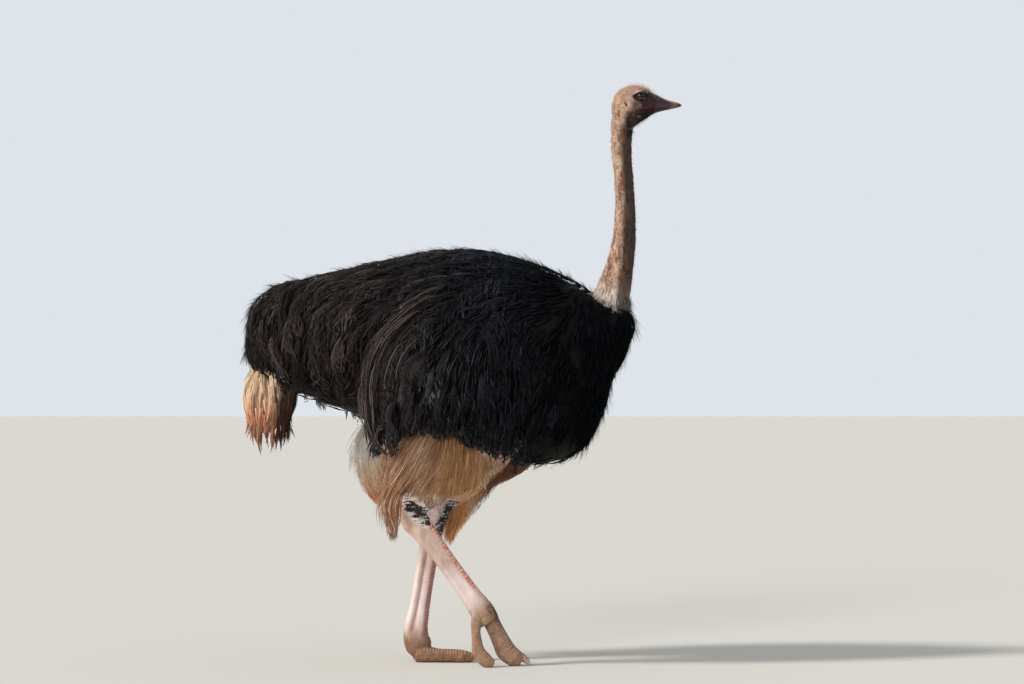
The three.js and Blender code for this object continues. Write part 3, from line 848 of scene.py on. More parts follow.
def leg_colour(v, n, which):
    """Thigh, pink shin with red scutes, black scaly ankle, and dusty lower leg and toes."""
    s = STANCES[which]
    ankle, down, front = bone_frame(s)
    rel = v - ankle
    place, ahead = rel @ down, rel @ front
    across = v[:, 1] - ankle[1] - s["spread"] * place / TARSUS_LENGTH
    angle = np.degrees(np.arctan2(np.abs(across) / 30, ahead / 38))
    thigh = near_colour(v, 0) if which == "right" else front_colour(v) * 0.9
    shin = mix(rgb(219, 190, 176), rgb(196, 160, 144), 0.7 * ease(noise(v, 22, 42), -0.1, 0.8))
    shin = mix(shin, rgb(240, 222, 210), 0.6 * ease(noise(v * [1, 1, 0.5], 15, 43), 0.1, 0.8))
    colour = mix(thigh, shin, ease(place, -90, -40))
    far = which == "left"
    colour = mix(colour, rgb(240, 192, 160), 0.5 * ease(angle, 118, 160) * fall(place, 160, 300) * (not far))
    colour = mix(colour, rgb(240, 226, 228), 0.5 * ease(place, 200, 300) * fall(place, 380, 430))
    colour = mix(colour, rgb(232, 214, 204), 0.6 * far * ease(angle, 126, 140) * ease(place, 60, 140))
    scutes = fall(angle, 52, 72) * ease(place, 45, 80)
    red = mix(rgb(228, 150, 134), rgb(244, 204, 190), ease(noise(v, 10, 44), -0.3, 0.7))
    # painted shade: on the far leg the front plates are darker, partly their own colour and partly the shade
    # on that side
    red = mix(red, rgb(148, 92, 84), 0.8 * far)
    share = plate_share(place, SCUTE_PITCH, SCUTE_SEED)
    red = mix(
        red, rgb(150, 84, 76) * (0.6 if far else 1.0),
        0.65 * (bump_at(share, 1, 0.13) + bump_at(share, 0, 0.08))
    )
    fade = 0.8 * ease(place, 60, 160) if far else fall(place, 300, 400)
    colour = mix(colour, red, scutes * (0.2 + 0.8 * fade))
    # painted shade in the groove before the tendon: strong on the far leg, faint on the near one
    grooved = bump_at(angle, 112, 13) * ease(place, 60, 130) * fall(place, 430, 470)
    colour = mix(colour, rgb(118, 86, 88), (0.8 if far else 0.1) * grooved)
    # dusty brown lower leg and toes, ringed with plates on top
    dusty = mix(rgb(152, 119, 96), rgb(174, 146, 122), 0.7 * ease(noise(v, 7, 45), 0, 0.8))
    dusty = mix(dusty, rgb(110, 82, 68), 0.45 * ease(noise(v, 13, 46), 0.1, 0.8))
    if far:
        dusty = dusty * np.array([0.82, 0.74, 0.72])
    for toe_place, _, mine, facing, pitch in toe_places(v, n, which):
        step = plate_share(toe_place, pitch, TOE_SEED)
        lines = (bump_at(step, 1, 0.14) + bump_at(step, 0, 0.09)) * ease(facing, 0.1, 0.5) * mine
        dusty = mix(dusty, rgb(86, 62, 56), 0.7 * np.clip(lines, 0, 1))
        dusty = mix(dusty, rgb(214, 182, 160), 0.4 * bump_at(step, 0.5, 0.2) * ease(facing, 0.2, 0.6) * mine)
    low = ease(place, 400, 490) if far else ease(place, 345, 450)
    colour = mix(colour, dusty, np.maximum(low, fall(v[:, 2], 64, 96)))
    if not far:
        # dark in front of the joint above the toes: partly dark skin and partly painted shade
        knuckle_dark_and_shade = ease(place, 395, 440) * fall(place, 480, 530) * ease(ahead, 8, 26)
        colour = mix(colour, rgb(58, 44, 44), 0.7 * knuckle_dark_and_shade * ease(noise(v, 8, 49), -0.7, 0.1))
    # black scaly ankles, streaked with white
    gap = np.linalg.norm(rel * [1, 0.8, 1], axis=1)
    row = noise(v * [0.3, 0.6, 1.7], 7, 47) + 0.5 * noise(v, 4, 48)
    if which == "right":
        heart = np.hypot((rel[:, 0] - 22) / 46, (rel[:, 2] - 4 + 0.6 * (rel[:, 0] - 22)) / 30)
        black = ease(-heart - 0.3 * row, -1.08, -0.88)
        rear = fall(rel[:, 0], -16, 6)
        streaks = ease(row, 0.05, 0.4) * ease(heart, 0.15, 0.85) + 0.8 * ease(row, 0.2, 0.5) * rear
        black = black * (1 - 0.92 * np.clip(streaks, 0, 1))
        fleck = fall(row, -0.6, -0.3) * fall(np.abs(heart - 1.2), 0.1, 0.3)
        black = np.maximum(black, 0.75 * fleck)
        dust = fall(np.abs(heart - 1.0), 0.25, 0.75) * ease(row, -0.35, 0.2)
        colour = mix(colour, rgb(236, 230, 226), 0.85 * dust * fall(gap, 70, 92))
    else:
        # the far ankle's front: black scales, darkened further there as painted shade
        stripe = ahead - 14 + 0.3 * place
        black = ease(stripe + 9 * row, 0, 12) * ease(-np.abs(place - 22) - 16 * row, -66, -50)
        black = black * (1 - 0.7 * ease(row, 0.3, 0.6))
        dust = ease(row, -0.5, 0.2)
        colour = mix(colour, rgb(240, 229, 230), 0.8 * dust * fall(gap, 60, 88))
        # painted shade: lilac grey patches on the knob
        colour = mix(
            colour, rgb(150, 116, 136),
            0.5 * bump_at(noise(v * [1, 0.6, 0.5], 16, 50), 0.2, 0.14) * fall(gap, 40, 60)
        )
    return mix(colour, rgb(27, 26, 29), 0.96 * black)


def build_skin():
    """One piece: head and neck, legs and feet, and the flesh that the feathers hide. Returns the head."""
    shells = []
    voxel = 1.6
    v, polys, edges = fuse(
        [sweep(SKULL, 96, 150, 2.1, FORWARD), sweep(THROAT, 72, 60), sweep(NECK, 72, 220)], voxel, rounds=8
    )
    weight = 1 - ease(v[:, 0], 680, 694)
    v = relax(v, edges, 10, weight=weight * fall(v[:, 2], 1930, 1975) * ease(v[:, 2], 1850, 1890))
    n = normals_of(v, polys)
    v = sculpt_head(v, n)
    v, polys = thin(v, polys, 0.24, 0.85 * ease(v[:, 2], 1880, 1930))
    n = normals_of(v, polys)
    head = (v, n, polys)
    shells.append((v, polys, head_colour(v, n)))
    for which, s in STANCES.items():
        v, polys, edges = fuse(
            [
                sweep(shank_rings(s), 48, 80), sweep(ankle_rings(s), 48, 50, 2.2),
                sweep(tarsus_rings(s), 48, 120, 2.15), sweep(TOES[which]["main"], 48, 80, 2.3),
                sweep(TOES[which]["outer"], 40, 70, 2.3)
            ],
            2.1, rounds=6
        )
        n = normals_of(v, polys)
        v = sculpt_leg(v, n, which)
        v, polys = thin(v, polys, 0.42, 0.9 * fall(v[:, 2], 560, 620))
        n = normals_of(v, polys)
        shells.append((v, polys, leg_colour(v, n, which)))
    core, polys, edges = fuse(
        [
            sweep(trunk_rings(COAT_DEPTH), 64, 90, 2.15, FORWARD),
            *(
                leaf(drawn_in(WING, WING_HEART, 0.8), WING_HEART, wing_middle, 26, side)
                for side in (RIGHT, LEFT)
            )
        ],
        9, rounds=6
    )
    core, polys = thin(core, polys, 0.25)
    shells.append((core, polys, plumage_shade_colour(core)))
    verts, polys = weld([(v, p) for v, p, _ in shells])
    flesh = [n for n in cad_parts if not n.startswith(("bill", "eye", "claw"))]
    piece("skin", verts, polys, np.concatenate([c for _, _, c in shells]), SKIN, "head_skin", *flesh)
    return head


def plumage_shade_colour(p):
    """Black, browner towards the rump."""
    # painted shade: near black, so that the gaps between the feathers read as shade
    return mix(rgb(6, 6, 7), rgb(17, 13, 12), fall(p[:, 0], -600, 100) * 0.8)


# ---- Materials ----
def plug(tree, node, sockets):
    """Sets a node's inputs, each to a value or to what comes out of another node."""
    for name, value in sockets.items():
        if isinstance(value, bpy.types.NodeSocket):
            tree.links.new(value, node.inputs[name])
        else:
            node.inputs[name].default_value = value
    return node


def add_node(tree, kind, sockets=None, **settings):
    node = tree.nodes.new("ShaderNode" + kind)
    for name, value in settings.items():
        setattr(node, name, value)
    return plug(tree, node, sockets or {})


def new_material(name, sockets):
    """A material, its node tree and its shader."""
    m = bpy.data.materials.new(name)
    m.use_nodes = True
    return m, m.node_tree, plug(m.node_tree, m.node_tree.nodes["Principled BSDF"], sockets)


def material(name, roughness, specular, coat=0.0, grain=(), bumps=(), rough_noise=0.0):
    """A material coloured by the Tint attribute, with grain and bump from noise.

    grain lists (kind, size in mm, strength): the colour is scaled by about 1 +- strength, and cells hardly
    brighten it. bumps lists (kind, size in mm, height in mm). rough_noise is how far the roughness varies."""
    sockets = {
        "Roughness": roughness, "Specular IOR Level": specular, "Coat Weight": coat, "Coat Roughness": 0.06
    }
    m, tree, shader = new_material(name, sockets)
    colour = add_node(tree, "VertexColor", layer_name="Tint").outputs["Color"]
    place = add_node(tree, "TexCoord").outputs["Object"]

    def texture(kind, size):
        scale = {"Scale": 1000 / size, "Vector": place}
        if kind == "cells":
            cells = add_node(tree, "TexVoronoi", scale, feature="DISTANCE_TO_EDGE").outputs["Distance"]
            return add_node(tree, "MapRange", {"From Max": 0.12, "Value": cells}).outputs["Result"]
        return add_node(tree, "TexNoise", {**scale, "Detail": 4}).outputs["Fac"]

    for kind, size, strength in grain:
        low, high, brighter = (0.0, 1.0, 0.15) if kind == "cells" else (0.3, 0.7, 1)
        spans = {"From Min": low, "From Max": high, "To Min": 1 - strength, "To Max": 1 + strength * brighter}
        level = add_node(tree, "MapRange", spans)
        plug(tree, level, {"Value": texture(kind, size)})
        scaled = add_node(
            tree, "VectorMath", {0: colour, "Scale": level.outputs["Result"]}, operation="SCALE"
        )
        colour = scaled.outputs["Vector"]
    plug(tree, shader, {"Base Color": colour})
    if rough_noise:
        spans = {"To Min": roughness - rough_noise, "To Max": roughness + rough_noise}
        level = add_node(tree, "MapRange", spans)
        plug(tree, level, {"Value": texture("noise", 9)})
        plug(tree, shader, {"Roughness": level.outputs["Result"]})
    normal = {}
    for kind, size, height in bumps:
        bump = add_node(tree, "Bump", {"Strength": 1.0, "Distance": height * MM})
        plug(tree, bump, {"Height": texture(kind, size), **normal})
        normal = {"Normal": bump.outputs["Normal"]}
    plug(tree, shader, normal)
    return m


SKIN = material(
    "skin", roughness=0.6, specular=0.12, grain=(("noise", 2.2, 0.12), ("cells", 3.4, 0.10)),
    bumps=(("cells", 3.4, 0.5), ("noise", 1.6, 0.35)), rough_noise=0.1
)
HORN = material(
    "bill_horn", roughness=0.46, specular=0.3, grain=(("noise", 5, 0.14),), bumps=(("noise", 2.5, 0.18),),
    rough_noise=0.08
)
CLAW = material(
    "claw_horn", roughness=0.5, specular=0.45, grain=(("noise", 4, 0.2),), bumps=(("noise", 2.0, 0.35),),
    rough_noise=0.1
)
EYEBALL = material("eyeball", roughness=0.08, specular=0.2, coat=0.1, grain=(("noise", 1.2, 0.1),))
FEATHER = material("black_feather", roughness=0.34, specular=0.07, grain=(("noise", 7, 0.2),))
MATT_FEATHER = material("breast_feather", roughness=0.6, specular=0.03, grain=(("noise", 7, 0.2),))
PLUME = material("pale_plume", roughness=0.7, specular=0.25, grain=(("noise", 9, 0.1),))
DOWN = material("down", roughness=0.85, specular=0.15, grain=(("noise", 4, 0.12),))


def piece(name, verts, polys, colours, mat, slot, *replaced):
    """A visible piece on the root body, in place of the CAD nodes that it replaces."""
    o = make_object(name, verts, polys)
    paint(o, colours)
    o.data.materials.append(mat)
    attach(o, "root")
    if replaced:
        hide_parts(*replaced)
    return o


HEAD_SHELL = build_skin()


# ---- Eyes, bill and claws ----
def build_eye(which, side):
    """A wet eyeball with a brown iris and a wide pupil."""
    around, rows = 72, 48
    lat = np.linspace(0.02, math.pi - 0.02, rows)
    lon = 2 * math.pi * np.arange(around) / around
    p = np.stack(
        [
            np.outer(np.sin(lat), np.cos(lon)), np.broadcast_to(np.cos(lat)[:, None], (rows, around)),
            np.outer(np.sin(lat), np.sin(lon))
        ],
        axis=-1
    ).reshape(-1, 3)
    p = np.concatenate([p, [[0, 1, 0], [0, -1, 0]]])
    off_axis = np.degrees(np.arccos(np.clip(p[:, 1], -1, 1)))
    cornea = 1.3 * fall(off_axis, 24, 36)
    iris = mix(rgb(36, 22, 16), rgb(20, 13, 10), ease(noise(p * [1, 0.1, 1], 0.08, 3), -0.2, 0.6))
    colour = mix(iris, rgb(20, 14, 12), ease(off_axis, 29, 33))
    colour = mix(colour, rgb(5, 4, 4), fall(off_axis, 18, 20))
    verts = p * (EYE_RADIUS + cornea)[:, None]
    verts[:, 1] *= side
    faces = grid_faces(rows, around)
    if side > 0:
        faces = [f[:, ::-1] for f in faces]
    verts += EYE * [1, side, 1]
    piece(f"eyeball_{which}", verts, faces, colour, EYEBALL, "eye", f"eye_{which}")


for which, side in SIDES.items():
    build_eye(which, side)

# x, culmen, mouth line, keel of the lower bill, half-width
BILL = [
    (684, 2023.5, 1972.0, 1954.5, 31.5), (694, 2019.5, 1973.5, 1957.0, 30.0),
    (706, 2013.0, 1974.8, 1960.5, 27.8), (720, 2006.5, 1976.2, 1964.0, 25.2),
    (736, 2000.5, 1977.8, 1967.5, 22.6), (750, 1996.0, 1979.4, 1970.6, 20.6),
    (762, 1992.6, 1980.6, 1973.4, 17.6), (771, 1989.6, 1981.2, 1976.0, 13.2),
    (777, 1987.2, 1981.6, 1978.4, 8.0), (780.5, 1985.0, 1982.0, 1981.0, 2.4)
]


def build_bill():
    """The two halves of the bill, with nostrils, a ridge and a nail at the tip."""
    rows, around = 90, 64
    t = np.linspace(0, 1, rows)
    table = np.array(BILL, float)
    knots = (table[:, 0] - table[0, 0]) / (table[-1, 0] - table[0, 0])
    line = spline(knots, table, np.sin(t * math.pi / 2))
    x, culmen, mouth, keel, half = line.T
    angle = 2 * math.pi * np.arange(around) / around
    ca, sa = np.cos(angle), np.sin(angle)

    # upper: an arch whose edges hang over the lower bill
    across = np.sign(ca) * np.abs(ca) ** 0.85
    up = np.where(sa > 0, np.abs(sa) ** 0.92, 0)
    under = np.where(sa < 0, -np.abs(sa) ** 1.6, 0)
    y = half[:, None] * across[None]
    z = mouth[:, None] + (culmen - mouth)[:, None] * up[None] + 2.2 * under[None]
    ridge = ease(x, 706, 730)[:, None] * bump_at(ca, 0, 0.34)[None] * (sa > 0)[None]
    z = z - 1.6 * ease(x, 706, 730)[:, None] * (
        bump_at(np.abs(ca), 0.52, 0.16) * (sa > 0)
    )[None] + 0.5 * ridge
    v = np.stack([np.broadcast_to(x[:, None], y.shape), y, z], axis=-1)
    flat = v.reshape(-1, 3)
    nostril = np.hypot((flat[:, 0] - 722) / 9.5, (flat[:, 2] - (1991.5 - 0.12 * (flat[:, 0] - 722))) / 2.6)
    sides = np.abs(flat[:, 1]) > 4
    pit = np.where(sides, np.exp(-(nostril**2) * 1.4), 0)
    rim = np.where(sides, bump_at(nostril, 1.6, 0.4), 0)
    flat[:, 1] -= np.sign(flat[:, 1]) * (3.2 * pit - 0.7 * rim)
    nail = ease(flat[:, 0], 746, 749) * ease(flat[:, 2], 1983, 1987)
    flat[:, 2] += 0.8 * nail * fall(flat[:, 0], 772, 780)
    verts = np.concatenate([flat, [[x[0], 0, 1990], [x[-1] + 0.4, 0, 1983.4]]])
    vx, vz = verts[:, 0], verts[:, 2]
    # the upper bill: dark maroon horn, its own colour darkened further as painted shade
    colour = mix(rgb(42, 26, 36), rgb(58, 33, 40), 0.7 * ease(noise(verts * [0.35, 1, 1], 8, 51), -0.1, 0.7))
    top = ease(vz - np.interp(vx, x, culmen), -8, -1)
    colour = mix(colour, rgb(50, 33, 42), 0.6 * top * fall(vx, 700, 716))
    # painted highlight: a pale line along the ridge
    colour = mix(colour, rgb(150, 120, 116), 0.8 * top * ease(vx, 708, 726))
    colour = mix(colour, rgb(132, 96, 72), 0.5 * ease(vx, 735, 755))
    colour = mix(colour, rgb(44, 38, 42), 0.95 * ease(vx + 0.25 * (vz - 1984), 763, 771))
    colour = mix(
        colour, rgb(116, 52, 56), 0.6 * ease(-(vz - np.interp(vx, x, mouth)), -6, -1) * fall(vx, 715, 740)
    )
    # painted shade in the nostrils
    dark = np.zeros(len(verts))
    dark[: len(pit)] = pit
    colour = mix(colour, rgb(38, 24, 24), np.clip(dark * 1.3, 0, 1))
    faces = [f[:, ::-1] for f in grid_faces(rows, around)]
    piece("upper_bill", verts, faces, colour, HORN, "bill_horn", "bill_upper")

    # lower: a shallow trough that fits inside the upper edges
    narrow = half - 1.6
    y = narrow[:, None] * across[None]
    z = mouth[:, None] - 0.7 - (mouth - keel - 0.7)[:, None] * np.where(sa < 0, np.abs(sa) ** 0.9, 0)[None]
    split = fall(x, 712, 742)[:, None] * bump_at(ca, 0, 0.18)[None] * (sa < 0)[None]
    z = z + 1.4 * split - 0.9 * np.where(sa > 0, np.abs(sa), 0)[None]
    v = np.stack([np.broadcast_to(x[:, None] - 0.8, y.shape), y, z], axis=-1).reshape(-1, 3)
    verts = np.concatenate([v, [[x[0] - 0.8, 0, 1966], [x[-1] - 0.6, 0, 1981.2]]])
    vx, vz = verts[:, 0], verts[:, 2]
    # the lower bill: its own colours darkened further as painted shade, near black next to the face
    colour = mix(rgb(48, 30, 32), rgb(70, 44, 38), ease(noise(verts * [0.35, 1, 1], 8, 52), 0, 0.7))
    colour = mix(colour, rgb(26, 19, 20), 0.9 * fall(vx, 690, 716))
    colour = mix(colour, rgb(140, 98, 66), 0.7 * ease(vx, 728, 750))
    colour = mix(colour, rgb(52, 42, 42), 0.9 * ease(vx, 765, 773))
    piece("lower_bill", verts, faces, colour, HORN, "bill_horn", "bill_lower")


build_bill()


def build_claw(which):
    verts, polys = sweep(CLAWS[which], 48, 60, 2.2)
    line = np.array(CLAWS[which])[:, :3]
    place, centre, _ = polyline_place(verts, line)
    out = unit(verts - centre)
    ridge = np.sin(np.arctan2(out[:, 1], out[:, 2]) * 9) * 0.35 + 0.5 * noise(verts * [1, 0.4, 0.4], 6, 61)
    verts = verts + out * (ridge * fall(place, 50, 62))[:, None]
    verts[:, 2] = np.maximum(verts[:, 2], 0.2)
    colour = mix(rgb(172, 148, 120), rgb(98, 78, 66), ease(noise(verts * [0.3, 1, 1], 5, 62), 0, 0.7))
    colour = mix(colour, rgb(206, 186, 158), 0.6 * ease(place, 36, 60))
    piece(f"nail_{which}", verts, polys, colour, CLAW, "claw_horn", f"claw_{which}")


for which in SIDES:
    build_claw(which)


# ---- Feathers: every barb, plume and hair is a closed three-sided strand of mesh that ends in a point ----
def strand_mesh(centre, up, width, thick):
    """Vertices and triangles of strands: centre and up (N, S, 3), half-width and height (N, S)."""
    count, stations = centre.shape[:2]
    heading = unit(np.gradient(centre, axis=1))
    side = unit(np.cross(up, heading))
    upward = np.cross(heading, side)
    left = centre - side * width[..., None]
    right = centre + side * width[..., None]
    top = centre + upward * thick[..., None]
    rings = np.stack([left, right, top], axis=2)[:, :-1].reshape(count, -1, 3)
    verts = np.concatenate([rings, centre[:, -1:]], axis=1)
    faces = [(0, 2, 1)]
    for k in range(stations - 2):
        for j in range(3):
            a, b = 3 * k + j, 3 * k + (j + 1) % 3
            faces += [(a, b, b + 3), (a, b + 3, a + 3)]
    last = 3 * (stations - 2)
    faces += [(last + j, last + (j + 1) % 3, last + 3) for j in range(3)]
    each = last + 4
    tris = np.array(faces)[None] + (np.arange(count) * each)[:, None, None]
    return verts.reshape(-1, 3), tris.reshape(-1, 3)


def per_vertex(values):
    """Repeats values (N, S, C), one for each station, for the three corners of a strand and its tip."""
    body = np.repeat(values[:, :-1], 3, axis=1)
    return np.concatenate([body, values[:, -1:]], axis=1).reshape(-1, values.shape[-1])


SHAFT_STATIONS = 6
STRAND_UV = 0.0026  # the size of a tuft of strands on the unwrap


class Coat:
    """Collects strands for one object."""

    def __init__(self, name):
        self.name = name
        self.verts, self.tris, self.tints, self.uvs = [], [], [], []
        self.base = 0

    def add(self, centre, up, width, thick, tint, uv):
        """tint (N, S, 3); uv (N, 2): the root's place on the unwrap; a tuft's strands share it."""
        verts, tris = strand_mesh(centre, up, width, thick)
        self.verts.append(verts)
        self.tris.append(tris + self.base)
        self.tints.append(per_vertex(tint))
        share = np.linspace(-0.5, 0.5, centre.shape[1])[None, :, None] * [0.0, STRAND_UV]
        self.uvs.append(per_vertex(uv[:, None, :] + share))
        self.base += len(verts)

    def add_barbs(self, centre, up, width, plump, tint, uv):
        """Barbs of feathers: centre, up and tint (F, M, S, 3), width (F, M, S), and uv (F, 2)."""
        count, m, stations = width.shape
        n = count * m
        width = width.reshape(n, stations)
        beside = (np.tile(np.arange(m), count)[:, None] / m - 0.5) * [STRAND_UV, 0]
        flat = [a.reshape(n, stations, 3) for a in (centre, up, tint)]
        self.add(flat[0], flat[1], width, width * plump, flat[2], np.repeat(uv, m, axis=0) + beside)

    def add_shafts(self, path, up, girth, end, tint, uv):
        """One shaft along each path, that narrows to a share, end, of its girth."""
        t = np.linspace(0, 1, SHAFT_STATIONS)[None].repeat(len(path), 0)
        width = girth * np.linspace(1, end, SHAFT_STATIONS)[None].repeat(len(path), 0)
        self.add(read_path(path, t), unit(read_path(up, t)), width, width, tint, uv)

    def finish(self, mat, slot):
        tris = np.concatenate(self.tris)
        o = piece(self.name, np.concatenate(self.verts), [tris], np.concatenate(self.tints), mat, slot)
        layer = o.data.uv_layers.new(name="OFBake")
        layer.data.foreach_set("uv", np.concatenate(self.uvs)[tris.ravel()].astype(np.float32).ravel())


def unwrap(p):
    """A place from 0 to 1 on an unwrap of the body: round it, and along it from the tail to the bill."""
    around = np.arctan2(
        p[:, 1], p[:, 2] - np.interp(p[:, 0], [-780, 500, 780], [1050, 1100, 1950])
    ) / (2 * math.pi) + 0.5
    along = (p[:, 0] + 790) / 1600 * 0.6 + p[:, 2] / 2100 * 0.38
    return np.stack([np.clip(around, 0.003, 0.997), np.clip(along, 0.003, 0.997)], axis=1)


AROUND = list(itertools.product((-1, 0, 1), repeat=3))  # steps from a cell to itself and its neighbours


class MeshGuide:
    """A closed surface that feathers lie on."""

    def __init__(self, verts, polys):
        self.verts, self.polys = verts, polys
        self.normals = normals_of(verts, polys)
        padded = [p if p.shape[1] == 4 else np.concatenate([p, p[:, 2:]], axis=1) for p in polys]
        self.faces = np.concatenate(padded)
        self.tree = BVHTree.FromPolygons(verts.tolist(), [f for p in polys for f in p.tolist()])

    def settle(self, p):
        """The nearest points of the surface and its normals there."""
        found = [self.tree.find_nearest(q) for q in p.tolist()]
        on = np.array([f[0] for f in found])
        face = self.faces[np.array([f[2] for f in found])]
        gap = np.linalg.norm(self.verts[face] - on[:, None], axis=-1)
        weight = 1 / (gap + 1.0)
        return on, unit((self.normals[face] * weight[..., None]).sum(1))

    def scatter(self, spacing, keep, rng):
        """Points spread evenly over the surface."""
        tri = np.concatenate([self.faces[:, [0, 1, 2]], self.faces[:, [0, 2, 3]]])
        a, b, c = (self.verts[tri[:, k]] for k in range(3))
        area = np.linalg.norm(np.cross(b - a, c - a), axis=1) / 2
        count = int(area.sum() / spacing**2 * 7)
        pick = rng.choice(len(tri), count, p=area / area.sum())
        u, v = rng.random(count), rng.random(count)
        flip = u + v > 1
        u, v = np.where(flip, 1 - u, u), np.where(flip, 1 - v, v)
        p = a[pick] + u[:, None] * (b - a)[pick] + v[:, None] * (c - a)[pick]
        return thin_out(p[keep(p)], spacing)


def thin_out(points, spacing):
    """Drops points that are nearer than spacing to one already kept."""
    cells, kept = {}, []
    keys = np.floor(points / spacing).astype(int).tolist()
    for i, (q, (x, y, z)) in enumerate(zip(points.tolist(), keys)):
        near = (r for dx, dy, dz in AROUND for r in cells.get((x + dx, y + dy, z + dz), ()))
        if all((q[0] - r[0]) ** 2 + (q[1] - r[1]) ** 2 + (q[2] - r[2]) ** 2 >= spacing**2 for r in near):
            cells.setdefault((x, y, z), []).append(q)
            kept.append(i)
    return points[kept]


class SheetGuide:
    """One side of the bird as a sheet over x and z: y = side * depth(x, z)."""

    def __init__(self, side, depth):
        self.side, self.depth = side, depth

    def settle(self, p):
        x, z = p[:, 0], p[:, 2]
        d = 3.0
        y = self.depth(x, z)
        sx = (self.depth(x + d, z) - self.depth(x - d, z)) / (2 * d)
        sz = (self.depth(x, z + d) - self.depth(x, z - d)) / (2 * d)
        n = unit(np.stack([-sx, np.full(len(x), 1.0), -sz], axis=1) * [1, self.side, 1])
        return np.stack([x, self.side * y, z], axis=1), n

    def scatter(self, spacing, inside, box, rng):
        x0, z0, x1, z1 = box
        count = int((x1 - x0) * (z1 - z0) / spacing**2 * 7)
        x, z = rng.uniform(x0, x1, count), rng.uniform(z0, z1, count)
        ok = inside(x, z)
        p = np.stack([x[ok], np.zeros(ok.sum()), z[ok]], axis=1)
        return self.settle(thin_out(p, spacing))[0]


STEPS = 11  # along a long plume


def paths_over(guide, roots, heading, lengths, turns, steps=STEPS, hang=0.0):
    """Paths that start at roots and follow a heading over a guide: points and normals (F, steps + 1, 3)."""
    p, n = guide.settle(roots)
    stride = (lengths / steps)[:, None]
    points, normals, direction = [p], [n], None
    for k in range(steps):
        want = heading(p, n)
        want = unit(want - n * dot(want, n)[:, None])
        angle = (turns * (1.3 * k / steps - 0.35))[:, None]
        want = want * np.cos(angle) + np.cross(n, want) * np.sin(angle)
        if direction is not None:
            want = unit(0.4 * want + 0.6 * direction)
        free = (hang * fall(n[:, 2], -0.6, -0.05) * k / steps)[:, None]
        want = unit(want * (1 - free) - UP * free)
        q = p + want * stride
        on, m = guide.settle(q)
        p = on * (1 - free) + q * free
        n = unit(m * (1 - free) + n * free)
        direction = want
        points.append(p)
        normals.append(n)
    return np.stack(points, axis=1), np.stack(normals, axis=1)


def read_path(path, s):
    """Reads path (F, K, 3) at shares s (F, M), and runs on straight past its end."""
    last = path.shape[1] - 1
    t = np.clip(s, 0, None) * last
    i = np.clip(np.floor(t).astype(int), 0, last - 1)
    f = (t - i)[..., None]
    row = np.arange(len(path))[:, None]
    return path[row, i] * (1 - f) + path[row, i + 1] * f


BARB_SPREAD = 0.8  # how steeply the barbs of a plume leave its shaft


